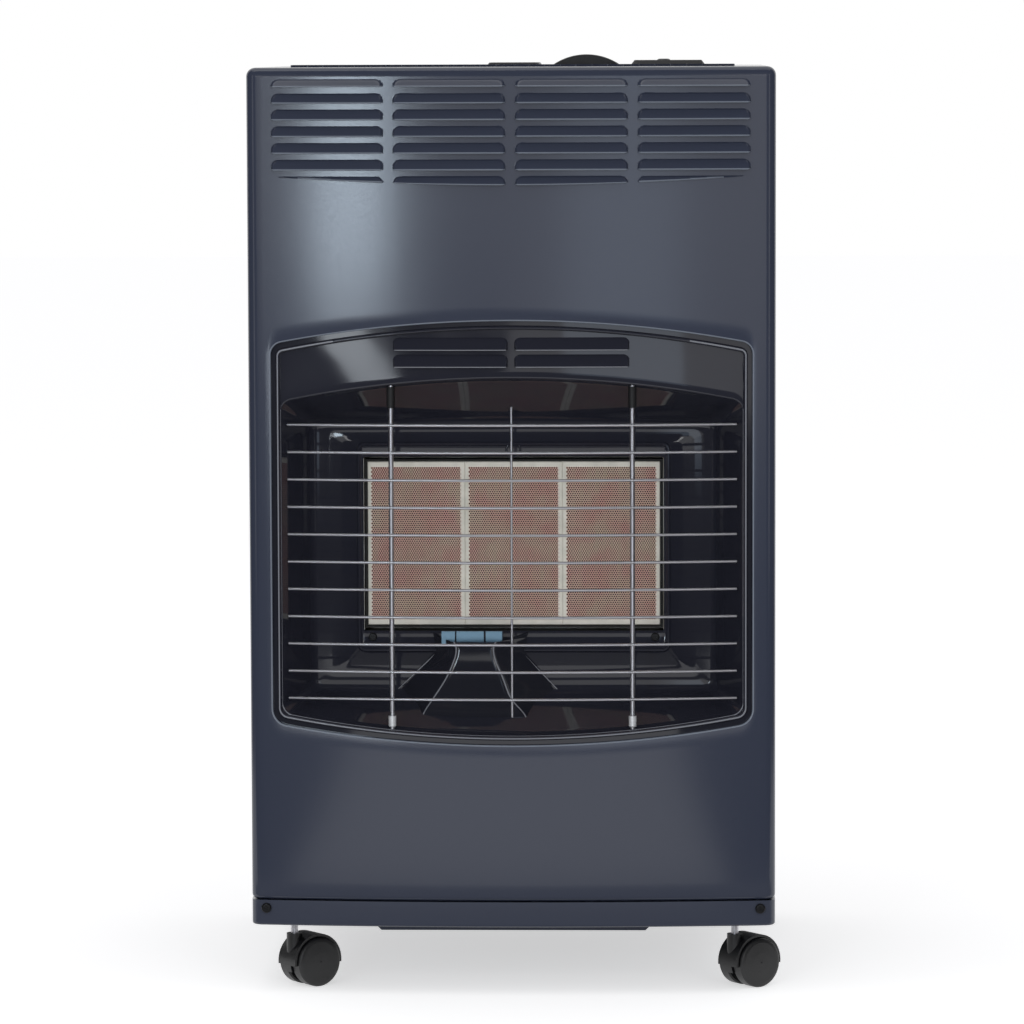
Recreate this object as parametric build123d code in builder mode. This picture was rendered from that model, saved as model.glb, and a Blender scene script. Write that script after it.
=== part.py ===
"""Cabinet heater for bottled gas: bowed steel cabinet, radiant burner behind a wire guard, four casters.

Units are millimetres. X is to the right, Y to the back, Z up; the origin is on the floor under the
middle of the cabinet.
"""

import os
from math import cos, degrees, sin, sqrt

from build123d import *

os.makedirs("parts", exist_ok=True)

# ---------------------------------------------------------------- driving dimensions
# cabinet
BODY_WIDTH = 420
BODY_TOP = 741
PANEL_FRONT_Y = -208
PANEL_DEPTH = 58  # front panel, front to back
SIDE_DEPTH = 318  # side panels and top cover, front to back
COVER_DEPTH = 44  # how far the rear cover stands out behind them
BOW_DEPTH = 12.5
CORNER_RADIUS = 9
TOP_RADIUS = 7
SHEET = 0.8
SEAM = 0.3  # gap left between neighbouring sheets
FLANGE = 12
SKIRT_BOTTOM = 55.1
SKIRT_HEIGHT = 20.4
FIT = 0.05  # radial clearance of a running or seated fit
HOLE_GAP = 0.3  # radial clearance of a plain hole
SCREW_R = 1.75

# louvres of the front panel
LOUVRE_WIDTH = 89.3
LOUVRE_GAP = 7.5
LOUVRE_HEIGHT = 9.6
LOUVRE_DEPTH = 5
LOUVRE_PITCH = 13.2
LOUVRE_ROWS = 7
LOUVRE_DROP = 94.2  # top of the cabinet down to the lowest row

# radiant opening in the front panel and the dish behind it
OPENING_MARGIN = 18.5  # opening to the side of the cabinet
OPENING_LOW = 202.0
OPENING_HEIGHT = 338.4
OPENING_SAG = 17.2
OPENING_RISE = 18.9
OPENING_LOW_RADIUS = 13
OPENING_HIGH_RADIUS = 10
REFLECTOR_INSET = 4
BEAD_GAP = 3.5
BEAD_WIDTH = 3.4
BROW_HEIGHT = 46.1
DISH_DEPTH = 47
DISH_LIP = 8  # straight part behind the mouth
DISH_SIDE_TAPER = 22.5
DISH_LOW_TAPER = 30.7
DISH_HIGH_TAPER = 37.2

# burner
PLAQUE_WIDTH = 78.4
PLAQUE_HEIGHT = 132.4
PLAQUE_THICK = 13
PLAQUE_GAP = 0.4
PLAQUE_RISE = 51.6  # bottom of the dish's back wall up to the plaques
WINDOW_MARGIN_X = 3
WINDOW_MARGIN_Z = 4.25
BOX_DEPTH = 41
VENTURI_R = 7.75

# guard
GUARD_WIRE_R = 1.1
GUARD_ROD_R = 2
GUARD_THIN_R = 1.0
GUARD_END_GAP = 5
GUARD_SAG = 15
GUARD_RISE = 28.6
GUARD_PITCH = 21.93
GUARD_WIRES = 11
ROD_X = 96

# controls
KNOB_X = 58
KNOB_Y = -60
PIEZO_X = 121
KNOB_R = 30.2
PUSH_TRAVEL = 4
BUTTON_TRAVEL = 5
BUTTON_R = 6.2
SPINDLE_R = 4

# casters
CASTER_MARGIN_X = 32
CASTER_FRONT_MARGIN = 43
CASTER_REAR_MARGIN = 52
WHEEL_R = 20
WHEEL_WIDTH = 10.7
TRAIL = 15

# ---------------------------------------------------------------- positions that follow
HALF = BODY_WIDTH / 2
FLANGE_Y = PANEL_FRONT_Y + PANEL_DEPTH
SIDE_BACK_Y = FLANGE_Y + SIDE_DEPTH
BACK_Y = SIDE_BACK_Y + COVER_DEPTH
BOW_RADIUS = (HALF**2 + BOW_DEPTH**2) / (2 * BOW_DEPTH)
BOW_AXIS_Y = PANEL_FRONT_Y + BOW_RADIUS
SKIRT_TOP = SKIRT_BOTTOM + SKIRT_HEIGHT
PANEL_BOTTOM = SKIRT_TOP + 0.5
TRAY_FLOOR = SKIRT_BOTTOM + SHEET

OPENING_HALF = HALF - OPENING_MARGIN
OPENING_HIGH = OPENING_LOW + OPENING_HEIGHT
DISH_MARGIN = BEAD_GAP + BEAD_WIDTH + 0.6
DISH_HALF = OPENING_HALF - DISH_MARGIN
DISH_LOW = OPENING_LOW + DISH_MARGIN
DISH_HIGH = OPENING_HIGH - BROW_HEIGHT
DISH_TURN_Y = PANEL_FRONT_Y + REFLECTOR_INSET + DISH_LIP
WALL_Y = DISH_TURN_Y + DISH_DEPTH
WALL_HALF = DISH_HALF - DISH_SIDE_TAPER
WALL_LOW = DISH_LOW + DISH_LOW_TAPER
WALL_HIGH = DISH_HIGH - DISH_HIGH_TAPER

PLAQUE_PITCH = PLAQUE_WIDTH + PLAQUE_GAP
BURNER_X = (-PLAQUE_PITCH, 0, PLAQUE_PITCH)
PLAQUE_HALF = PLAQUE_PITCH + PLAQUE_WIDTH / 2
PLAQUE_LOW = WALL_LOW + PLAQUE_RISE
PLAQUE_MID = PLAQUE_LOW + PLAQUE_HEIGHT / 2
PLAQUE_FRONT_Y = WALL_Y + 6
WINDOW_HALF = PLAQUE_HALF + WINDOW_MARGIN_X
WINDOW_LOW = PLAQUE_LOW - WINDOW_MARGIN_Z
WINDOW_HIGH = PLAQUE_LOW + PLAQUE_HEIGHT + WINDOW_MARGIN_Z


def save(shape, name):
    """Name a finished piece and write its file."""
    shape.label = name
    export_step(shape, f"parts/{name}.step")


# ---------------------------------------------------------------- shared outlines
def plan_outline(inset, back_y, back_radius=0):
    """Cabinet outline seen from above: bowed front, straight sides."""
    half = HALF - inset
    edge_y = PANEL_FRONT_Y + BOW_DEPTH + inset
    with BuildSketch() as outline:
        with BuildLine():
            ThreePointArc((-half, edge_y), (0, PANEL_FRONT_Y + inset), (half, edge_y))
            Polyline((half, edge_y), (half, back_y), (-half, back_y), (-half, edge_y))
        make_face()
        front = outline.vertices().filter_by(lambda v: v.Y < back_y - 1)
        fillet(front, max(CORNER_RADIUS - inset, 1.5))
        if back_radius:
            fillet(outline.vertices().filter_by(lambda v: v.Y > back_y - 0.1), back_radius)
    return outline.sketch


def front_slab(inset, bottom, back_y):
    """Solid front of the cabinet with its rounded top edge, drawn in by inset all round."""
    with BuildPart() as slab:
        with BuildSketch(Plane.XY.offset(bottom)):
            add(plan_outline(inset, back_y))
        extrude(amount=BODY_TOP - inset - bottom)
        top = slab.edges().group_by(Axis.Z)[-1].filter_by(lambda e: e.center().Y < back_y - 0.1)
        fillet(top, TOP_RADIUS - inset)
    return slab.part


def front_skin(near, far):
    """Bowed layer of the front between two depths behind its face."""
    with BuildPart() as skin:
        add(front_slab(near, PANEL_BOTTOM + 60, FLANGE_Y))
        add(front_slab(far, PANEL_BOTTOM + 50, FLANGE_Y + 1), mode=Mode.SUBTRACT)
    return skin.part


def arched_outline(half, low, sag, high, rise, low_radius, high_radius):
    """Opening seen from the front: straight sides, bottom sagging and top rising to the middle."""
    with BuildSketch() as outline:
        with BuildLine():
            ThreePointArc((-half, low + sag), (0, low), (half, low + sag))
            Line((half, low + sag), (half, high - rise))
            ThreePointArc((half, high - rise), (0, high), (-half, high - rise))
            Line((-half, high - rise), (-half, low + sag))
        make_face()
        fillet(outline.vertices().group_by(Axis.Y)[0], low_radius)
        fillet(outline.vertices().group_by(Axis.Y)[-1], high_radius)
    return outline.sketch


def panel_opening(grow=0):
    return arched_outline(
        OPENING_HALF + grow, OPENING_LOW - grow, OPENING_SAG, OPENING_HIGH + grow, OPENING_RISE,
        OPENING_LOW_RADIUS + grow, OPENING_HIGH_RADIUS + grow,
    )


def dish_mouth(grow=0):
    return arched_outline(
        DISH_HALF + grow, DISH_LOW - grow, OPENING_SAG, DISH_HIGH + grow, OPENING_RISE, 10 + grow, 9 + grow,
    )


def dish_back(grow=0):
    return arched_outline(WALL_HALF + grow, WALL_LOW - grow, 0.1, WALL_HIGH + grow, 0.1, 8 + grow, 8 + grow)


def arch_floor(x):
    """Height of the dish's floor behind the mouth at a given x."""
    return DISH_LOW + OPENING_SAG * (x / DISH_HALF) ** 2


def arch_ceiling(x):
    return DISH_HIGH - OPENING_RISE * (x / DISH_HALF) ** 2


def front_prism(outline, near_y, far_y):
    """Straight block cut to a front outline, from one depth to another."""
    with BuildPart() as prism:
        with BuildSketch(Plane.XZ.offset(-far_y)):
            add(outline)
        extrude(amount=far_y - near_y)
    return prism.part


def radial_plane(x):
    """Upright plane through the axis of the bow at a given x on the front face."""
    lean = x / BOW_RADIUS
    return Plane(
        origin=(0, BOW_AXIS_Y, 0),
        x_dir=(sin(lean), -cos(lean), 0),
        z_dir=(-cos(lean), -sin(lean), 0),
    )


def louvre_rings(face_radius, bottoms, height, depth, half_span, wall):
    """Wedge-shaped rings round the bow, one per row: the louvre hoods before they are cut to width."""
    inner = face_radius - 2
    crest = face_radius + depth - wall
    with BuildPart() as rings:
        for bottom in bottoms:
            top = bottom + height - wall
            with BuildSketch(radial_plane(-half_span)):
                with BuildLine():
                    Polyline(
                        (inner, bottom), (crest, bottom), (crest, bottom + 1.2), (face_radius - wall, top),
                        (inner, top), close=True,
                    )
                make_face()
            revolve(
                axis=Axis((0, BOW_AXIS_Y, 0), (0, 0, 1)),
                revolution_arc=degrees(2 * half_span / BOW_RADIUS),
            )
    return rings.part


def louvre_fronts(centres, bottoms, width, height, wall):
    """Front outlines of the louvres as a block to trim the rings: upper corners rounded."""
    w = width / 2 - wall
    h = height - wall
    r = h * 0.55
    mid = r * (1 - sqrt(0.5))
    with BuildSketch() as face:
        with BuildLine():
            Polyline((-w, h - r), (-w, 0), (w, 0), (w, h - r))
            ThreePointArc((w, h - r), (w - mid, h - mid), (w - r, h))
            Line((w - r, h), (r - w, h))
            ThreePointArc((r - w, h), (mid - w, h - mid), (-w, h - r))
        make_face()
    with BuildSketch() as faces:
        for bottom in bottoms:
            for x in centres:
                with Locations((x, bottom)):
                    add(face.sketch)
    return front_prism(faces.sketch, PANEL_FRONT_Y - 30, FLANGE_Y)


def louvres(face_radius, centres, bottoms, width, depth, wall):
    half_span = max(abs(x) for x in centres) + width / 2 + 4
    with BuildPart() as hoods:
        add(louvre_rings(face_radius, bottoms, LOUVRE_HEIGHT, depth, half_span, wall))
        add(louvre_fronts(centres, bottoms, width, LOUVRE_HEIGHT, wall), mode=Mode.INTERSECT)
    return hoods.part


# ---------------------------------------------------------------- front panel
louvre_step = LOUVRE_WIDTH + LOUVRE_GAP
louvre_centres = [louvre_step * k for k in (-1.5, -0.5, 0.5, 1.5)]
louvre_bottoms = [BODY_TOP - LOUVRE_DROP + LOUVRE_PITCH * row for row in range(LOUVRE_ROWS)]
with BuildPart() as front_panel:
    add(front_slab(0, PANEL_BOTTOM, FLANGE_Y))
    add(front_slab(SHEET, PANEL_BOTTOM - 1, FLANGE_Y + 1), mode=Mode.SUBTRACT)
    # flange round the back edge
    with BuildSketch(Plane.XZ.offset(-FLANGE_Y)):
        with Locations((0, (PANEL_BOTTOM + BODY_TOP - SHEET / 2) / 2)):
            Rectangle(BODY_WIDTH - SHEET, BODY_TOP - SHEET / 2 - PANEL_BOTTOM)
        fillet(vertices(Select.LAST).group_by(Axis.Z)[-1], TOP_RADIUS - SHEET / 2)
        with Locations((0, (PANEL_BOTTOM - 2 + BODY_TOP - FLANGE) / 2)):
            Rectangle(BODY_WIDTH - 2 * FLANGE, BODY_TOP - FLANGE - PANEL_BOTTOM + 2, mode=Mode.SUBTRACT)
    extrude(amount=SHEET)
    # flange along the bottom edge
    with BuildSketch(Plane.XY.offset(PANEL_BOTTOM)):
        add(plan_outline(SHEET / 2, FLANGE_Y))
        add(plan_outline(FLANGE * 0.6, FLANGE_Y + 1), mode=Mode.SUBTRACT)
    extrude(amount=SHEET)
    # louvres
    rows = (BOW_RADIUS, louvre_centres, louvre_bottoms, LOUVRE_WIDTH, LOUVRE_DEPTH)
    add(louvres(*rows, 0))
    add(louvres(*rows, SHEET), mode=Mode.SUBTRACT)
    # opening
    add(front_prism(panel_opening(), PANEL_FRONT_Y - 10, FLANGE_Y - 20), mode=Mode.SUBTRACT)
with BuildPart() as opening_rim:
    add(front_skin(SHEET / 2, REFLECTOR_INSET - 0.4))
    add(front_prism(panel_opening(SHEET), PANEL_FRONT_Y - 10, FLANGE_Y - 20), mode=Mode.INTERSECT)
    add(front_prism(panel_opening(), PANEL_FRONT_Y - 10, FLANGE_Y - 20), mode=Mode.SUBTRACT)
with BuildPart() as front_panel_whole:
    add(front_panel.part)
    add(opening_rim.part)
save(front_panel_whole.part, "front_panel")

# ---------------------------------------------------------------- side panels
SIDE_FRONT_Y = FLANGE_Y + SEAM
SIDE_TOP = BODY_TOP - 2 * TOP_RADIUS - 1
side_length = SIDE_BACK_Y - SIDE_FRONT_Y
side_height = SIDE_TOP - PANEL_BOTTOM
side_mid_y = (SIDE_BACK_Y + SIDE_FRONT_Y) / 2
side_mid_z = (PANEL_BOTTOM + SIDE_TOP) / 2
for side, name in ((-1, "side_panel_left"), (1, "side_panel_right")):
    with BuildPart() as side_panel:
        with Locations((side * (HALF - FLANGE / 2), side_mid_y, side_mid_z)):
            Box(FLANGE, side_length, side_height)
        outer = side_panel.edges().filter_by(Axis.Z).group_by(Axis.Y)[-1]
        fillet(outer.sort_by(Axis.X)[-1 if side > 0 else 0], 3 * SHEET)
        with Locations((side * (HALF - SHEET - FLANGE), side_mid_y, side_mid_z)):
            Box(2 * FLANGE, side_length - 2 * SHEET, side_height - 2 * SHEET, mode=Mode.SUBTRACT)
    save(side_panel.part, name)

# ---------------------------------------------------------------- top cover
SLOT_PITCH = 12.6
SLOT_TURN = 38
SLOT_ROWS_Y = (FLANGE_Y + 12, FLANGE_Y + 34)
slots_per_side = int((HALF - 3 * TOP_RADIUS - 5) / SLOT_PITCH)
SLOT_LENGTH = 17
LIP_RISE = 1.8
HOOK_X = 120
HOOK_WIDTH = 18
HOOK_GAP = 2
BEZEL_WIDTH = 180
BEZEL_LENGTH = 74
BEZEL_LEFT = KNOB_X - 81
BEZEL_X = BEZEL_LEFT + BEZEL_WIDTH / 2
CUTOUT_MARGIN = 4
cover_low = SIDE_TOP + SEAM
with BuildPart() as top_cover:
    with Locations((0, side_mid_y, (cover_low + BODY_TOP) / 2)):
        Box(BODY_WIDTH, side_length, BODY_TOP - cover_low)
    fillet(top_cover.edges().filter_by(Axis.Y).group_by(Axis.Z)[-1], TOP_RADIUS)
    with BuildSketch(Plane.XZ.offset(1 - SIDE_FRONT_Y)):
        with Locations((0, (cover_low - 2 + BODY_TOP - SHEET) / 2)):
            Rectangle(BODY_WIDTH - 2 * SHEET, BODY_TOP - SHEET - cover_low + 2)
        fillet(vertices(Select.LAST).group_by(Axis.Z)[-1], TOP_RADIUS - SHEET)
    extrude(amount=-(side_length + 2), mode=Mode.SUBTRACT)
    # down-turned front and back edges
    for y in (SIDE_FRONT_Y + SHEET / 2, SIDE_BACK_Y - SHEET / 2):
        with Locations((0, y, BODY_TOP - TOP_RADIUS / 2 - 0.5)):
            Box(BODY_WIDTH - 2 * TOP_RADIUS, SHEET, TOP_RADIUS)
    # raised lips beside the slanted vents, mirrored about the middle
    with BuildSketch(Plane.XY.offset(BODY_TOP - 0.2)):
        for y in SLOT_ROWS_Y:
            for step in range(slots_per_side):
                for side in (-1, 1):
                    x = side * SLOT_PITCH * (step + 0.5)
                    with Locations(Location((x, y, 0), (0, 0, -side * SLOT_TURN))):
                        SlotOverall(SLOT_LENGTH + 2, 1.4)
    extrude(amount=LIP_RISE + 0.2)
    with BuildSketch(Plane.XY.offset(BODY_TOP - 3)):
        for y in SLOT_ROWS_Y:
            for step in range(slots_per_side):
                for side in (-1, 1):
                    x = side * (SLOT_PITCH * (step + 0.5) + 3.0)
                    with Locations(Location((x, y + 2.6, 0), (0, 0, -side * SLOT_TURN))):
                        SlotOverall(SLOT_LENGTH, 3.4)
    extrude(amount=6, mode=Mode.SUBTRACT)
    # cut-out under the control bezel and notches for the hooks of the rear cover
    with BuildSketch(Plane.XY.offset(BODY_TOP - 3)):
        with Locations((BEZEL_X, KNOB_Y)):
            RectangleRounded(BEZEL_WIDTH - 2 * CUTOUT_MARGIN, BEZEL_LENGTH - 2 * CUTOUT_MARGIN, 6)
    extrude(amount=6, mode=Mode.SUBTRACT)
    for x in (-HOOK_X, HOOK_X):
        with Locations((x, SIDE_BACK_Y - 1.8, BODY_TOP - 5)):
            Box(HOOK_WIDTH + 2 * HOOK_GAP, 10.8, 16, mode=Mode.SUBTRACT)
save(top_cover.part, "top_cover")

# ---------------------------------------------------------------- base tray
CASTER_X = HALF - CASTER_MARGIN_X
CASTER_FRONT_Y = PANEL_FRONT_Y + CASTER_FRONT_MARGIN
CASTER_REAR_Y = BACK_Y - CASTER_REAR_MARGIN
STEM_HEAD_R = 5
PLATFORM_RISE = 3
PLATFORM_WIDTH = 320
PLATFORM_LENGTH = 250
PLATFORM_Y = SIDE_BACK_Y - 118
SKIRT_SCREW_X = HALF - 12
SKIRT_SCREW_Z = SKIRT_TOP - 6.2
FOOT_HALF = 106
FOOT_DROP = 4.9
with BuildPart() as base_tray:
    with BuildSketch(Plane.XY.offset(SKIRT_BOTTOM)):
        add(plan_outline(0, BACK_Y, CORNER_RADIUS))
    extrude(amount=SKIRT_HEIGHT)
    fillet(base_tray.edges().group_by(Axis.Z)[0], 2.5 * SHEET)
    with BuildSketch(Plane.XY.offset(TRAY_FLOOR)):
        add(plan_outline(SHEET, BACK_Y - SHEET, CORNER_RADIUS - SHEET))
    extrude(amount=SKIRT_HEIGHT, mode=Mode.SUBTRACT)
    # ledge the panels stand on, left out at the back where the rear cover drops in
    with BuildSketch(Plane.XY.offset(SKIRT_TOP - SHEET)):
        add(plan_outline(SHEET / 2, SIDE_BACK_Y - 1))
        add(plan_outline(FLANGE, SIDE_BACK_Y), mode=Mode.SUBTRACT)
    extrude(amount=SHEET)
    # raised platform for the cylinder
    with BuildSketch(Plane.XY.offset(SKIRT_BOTTOM)):
        with Locations((0, PLATFORM_Y)):
            RectangleRounded(PLATFORM_WIDTH, PLATFORM_LENGTH, 20)
    extrude(amount=PLATFORM_RISE + SHEET)
    with BuildSketch(Plane.XY.offset(SKIRT_BOTTOM - 1)):
        with Locations((0, PLATFORM_Y)):
            RectangleRounded(PLATFORM_WIDTH - 5 * SHEET, PLATFORM_LENGTH - 5 * SHEET, 18)
    extrude(amount=PLATFORM_RISE + 1, mode=Mode.SUBTRACT)
    # lowered lip across the front
    foot_z = SKIRT_BOTTOM - FOOT_DROP
    with BuildSketch(Plane.XZ.offset(-CASTER_FRONT_Y + 5)):
        Polygon(
            (-FOOT_HALF - 6, TRAY_FLOOR), (-FOOT_HALF, foot_z), (FOOT_HALF, foot_z),
            (FOOT_HALF + 6, TRAY_FLOOR), align=None,
        )
    extrude(amount=20)
    with BuildSketch(Plane.XZ.offset(-CASTER_FRONT_Y + 5 + SHEET)):
        Polygon(
            (-FOOT_HALF - 6 + 1.5 * SHEET, TRAY_FLOOR + 1), (-FOOT_HALF + SHEET, foot_z + SHEET),
            (FOOT_HALF - SHEET, foot_z + SHEET), (FOOT_HALF + 6 - 1.5 * SHEET, TRAY_FLOOR + 1), align=None,
        )
    extrude(amount=20 - 2 * SHEET, mode=Mode.SUBTRACT)
    # vents in the platform and holes for the caster stems
    with BuildSketch(Plane.XY.offset(SKIRT_BOTTOM - 2)):
        with Locations((0, PLATFORM_Y)):
            with GridLocations(0, 30, 1, 5):
                SlotOverall(90, 7)
        for x in (-CASTER_X, CASTER_X):
            with Locations((x, CASTER_FRONT_Y), (x, CASTER_REAR_Y)):
                Circle(STEM_HEAD_R + FIT)
    extrude(amount=PLATFORM_RISE + 5, mode=Mode.SUBTRACT)
    # screw holes at the two front corners of the skirt
    with BuildSketch(Plane.XZ.offset(-PANEL_FRONT_Y - 30)):
        with Locations((-SKIRT_SCREW_X, SKIRT_SCREW_Z), (SKIRT_SCREW_X, SKIRT_SCREW_Z)):
            Circle(SCREW_R + FIT)
    extrude(amount=40, mode=Mode.SUBTRACT)
save(base_tray.part, "base_tray")


def pan_head_screws(places, head_r, head_h, shank, cross):
    """Screws facing the front: rounded head with a cross recess, shank to the back."""
    with BuildPart() as screws:
        for x, y, z in places:
            with BuildSketch(Plane(origin=(x, y, z), x_dir=(1, 0, 0), z_dir=(0, -1, 0))):
                Circle(head_r)
            extrude(amount=head_h)
            with BuildSketch(Plane(origin=(x, y, z), x_dir=(1, 0, 0), z_dir=(0, 1, 0))):
                Circle(SCREW_R)
            extrude(amount=shank)
        fillet(screws.edges().filter_by(GeomType.CIRCLE).group_by(Axis.Y)[0], head_h * 0.6)
        for x, y, z in places:
            with Locations((x, y - head_h + 0.2, z)):
                Box(cross, 1.4, cross / 4, mode=Mode.SUBTRACT)
                Box(cross / 4, 1.4, cross, mode=Mode.SUBTRACT)
    return screws.part


skirt_screw_y = BOW_AXIS_Y - sqrt(BOW_RADIUS**2 - SKIRT_SCREW_X**2)
skirt_places = [(x, skirt_screw_y - 0.6, SKIRT_SCREW_Z) for x in (-SKIRT_SCREW_X, SKIRT_SCREW_X)]
save(pan_head_screws(skirt_places, 4, 2.4, 9, 3.4), "skirt_screws")

# ---------------------------------------------------------------- bay partition
PARTITION_Y = FLANGE_Y + 50
PARTITION_TOP = BODY_TOP - 69
PARTITION_GAP = 0.4
partition_half = HALF - SHEET - PARTITION_GAP
partition_low = PANEL_BOTTOM + 1
with BuildPart() as bay_partition:
    with Locations((0, PARTITION_Y + SHEET / 2, (partition_low + PARTITION_TOP) / 2)):
        Box(2 * partition_half, SHEET, PARTITION_TOP - partition_low)
    with Locations((0, PARTITION_Y + SHEET / 2, (TRAY_FLOOR + partition_low) / 2)):
        Box(2 * (HALF - FLANGE - 1), SHEET, partition_low - TRAY_FLOOR)
    for x in (SHEET / 2 - partition_half, partition_half - SHEET / 2):
        with Locations((x, PARTITION_Y + FLANGE / 2, (partition_low + PARTITION_TOP) / 2)):
            Box(SHEET, FLANGE, PARTITION_TOP - partition_low)
    with Locations((0, PARTITION_Y + FLANGE / 2, PARTITION_TOP - SHEET / 2)):
        Box(2 * partition_half, FLANGE, SHEET)
    with Locations((0, PARTITION_Y + FLANGE / 2, TRAY_FLOOR + SHEET / 2)):
        Box(2 * (HALF - FLANGE - 3), FLANGE, SHEET)
save(bay_partition.part, "bay_partition")

# ---------------------------------------------------------------- rear rail and rear cover
RAIL_TOP = BODY_TOP - 8
RAIL_HEIGHT = 43
RAIL_DEPTH = 16
RAIL_Y = SIDE_BACK_Y - SHEET - 1.2  # back face of its web
rail_low = RAIL_TOP - RAIL_HEIGHT
rail_half = HALF - FLANGE - 1
with BuildPart() as rear_top_rail:
    with Locations((0, RAIL_Y - SHEET / 2, (rail_low + RAIL_TOP) / 2)):
        Box(2 * rail_half, SHEET, RAIL_HEIGHT)
    with Locations((0, RAIL_Y - RAIL_DEPTH / 2, rail_low + SHEET / 2)):
        Box(2 * rail_half, RAIL_DEPTH, SHEET)
    # ears on the side panels, below the top cover
    for side in (-1, 1):
        with Locations((side * (partition_half - SHEET / 2), RAIL_Y - RAIL_DEPTH / 2, rail_low + 12)):
            Box(SHEET, RAIL_DEPTH, 22)
        with Locations((side * (rail_half + partition_half) / 2, RAIL_Y - SHEET / 2, rail_low + 12)):
            Box(partition_half - rail_half + 0.4, SHEET, 22)
save(rear_top_rail.part, "rear_top_rail")

COVER_SIDE_MARGIN = 10
COVER_RADIUS = 14
COVER_LOW = TRAY_FLOOR + 2.1
COVER_HEM = 6.8
cover_front_y = SIDE_BACK_Y + SEAM
cover_back_y = BACK_Y - SHEET - SEAM
cover_half = HALF - COVER_SIDE_MARGIN
cover_depth = cover_back_y - cover_front_y
hook_plate = 1.6
with BuildPart() as rear_cover:
    with Locations((0, (cover_front_y + cover_back_y) / 2, (COVER_LOW + BODY_TOP) / 2)):
        Box(2 * cover_half, cover_depth, BODY_TOP - COVER_LOW)
    fillet(rear_cover.edges().filter_by(Axis.Z).group_by(Axis.Y)[-1], COVER_RADIUS)
    fillet(rear_cover.edges().group_by(Axis.Z)[-1].filter_by(lambda e: e.center().Y > cover_front_y + 1), 5)
    with BuildSketch(Plane.XY.offset(COVER_LOW - 1)):
        with Locations((0, cover_front_y - 5)):
            Rectangle(2 * (cover_half - SHEET), 2 * (cover_depth - SHEET + 5))
        fillet(vertices(Select.LAST).group_by(Axis.Y)[-1], COVER_RADIUS - SHEET)
    extrude(amount=BODY_TOP - SHEET - COVER_LOW + 1, mode=Mode.SUBTRACT)
    # hems down both sides and the strip across the top
    hem_top = BODY_TOP - 8
    hem_x = cover_half + COVER_HEM / 2 - SHEET
    for side in (-1, 1):
        with Locations((side * hem_x, cover_front_y + SHEET / 2, (COVER_LOW + hem_top) / 2)):
            Box(COVER_HEM, SHEET, hem_top - COVER_LOW)
    with Locations((0, cover_front_y + SHEET / 2, BODY_TOP - 21)):
        Box(2 * cover_half - 1, SHEET, 41)
    # hooks that hang over the rail
    hook_front_y = RAIL_Y - SHEET - 1.4 - 1.2
    for x in (-HOOK_X, HOOK_X):
        with Locations((x, (hook_front_y + cover_front_y + 0.4) / 2, RAIL_TOP + 0.6 + hook_plate / 2)):
            Box(HOOK_WIDTH, cover_front_y + 0.4 - hook_front_y, hook_plate)
        with Locations((x, hook_front_y + 0.6, RAIL_TOP + 0.6 + hook_plate - 7)):
            Box(HOOK_WIDTH, 1.2, 14)
    # vent slots, two groups
    with BuildSketch(Plane.XZ.offset(5 - cover_front_y)):
        for z in (COVER_LOW + 62, BODY_TOP - 91):
            with Locations((0, z)):
                with GridLocations(90, 12, 3, 5):
                    SlotOverall(70, 5)
    extrude(amount=-(cover_depth + 5), mode=Mode.SUBTRACT)
save(rear_cover.part, "rear_cover")


# ---------------------------------------------------------------- reflector
def dish_loft(grow, mouth_y, back_y):
    """Solid that fills the dish: straight behind the mouth, then tapering to the back wall."""
    with BuildPart() as solid:
        with BuildSketch(Plane.XZ.offset(-DISH_TURN_Y)):
            add(dish_mouth(grow))
        extrude(amount=DISH_TURN_Y - mouth_y)
        with BuildSketch(Plane.XZ.offset(-DISH_TURN_Y)):
            add(dish_mouth(grow))
        with BuildSketch(Plane.XZ.offset(-back_y)):
            add(dish_back(grow))
        loft(ruled=True)
    return solid.part


BROW_LOUVRE_WIDTH = 91.5
BROW_LOUVRE_STEP = 96.6
BROW_LOUVRE_PITCH = 13.5
BROW_LOUVRE_DEPTH = 4
brow_bottoms = [DISH_HIGH + 10 + BROW_LOUVRE_PITCH * row for row in range(2)]
brow_centres = (-BROW_LOUVRE_STEP / 2, BROW_LOUVRE_STEP / 2)
brow_radius = BOW_RADIUS - REFLECTOR_INSET
EMBOSS_SIDE = 5.85
EMBOSS_BELOW = 17.8
EMBOSS_ABOVE = 12.7
EMBOSS_WIDTH = 3.85
EMBOSS_RISE = 1.8
emboss_low = WINDOW_LOW - EMBOSS_BELOW
emboss_high = WINDOW_HIGH + EMBOSS_ABOVE
emboss_half = WINDOW_HALF + EMBOSS_SIDE
emboss_mid = (emboss_low + emboss_high) / 2
BURNER_SCREW_X = WINDOW_HALF - 7
BURNER_SCREW_Z = WINDOW_LOW - 4.9
ROD_Y = (
    PANEL_FRONT_Y + 3 + ROD_X**2 * GUARD_SAG / (DISH_HALF - GUARD_END_GAP) ** 2
    + GUARD_WIRE_R + GUARD_ROD_R
)
SHROUD_X = -32.7
PILOT_STEP = 12
PILOT_Y = WALL_Y - 8
PILOT_X = (SHROUD_X - PILOT_STEP, SHROUD_X, SHROUD_X + PILOT_STEP)
PILOT_HOLE_R = 3.2
with BuildPart() as flange_sheet:
    add(front_skin(REFLECTOR_INSET, REFLECTOR_INSET + SHEET))
    add(front_prism(panel_opening(7), PANEL_FRONT_Y - 10, FLANGE_Y - 20), mode=Mode.INTERSECT)
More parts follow.
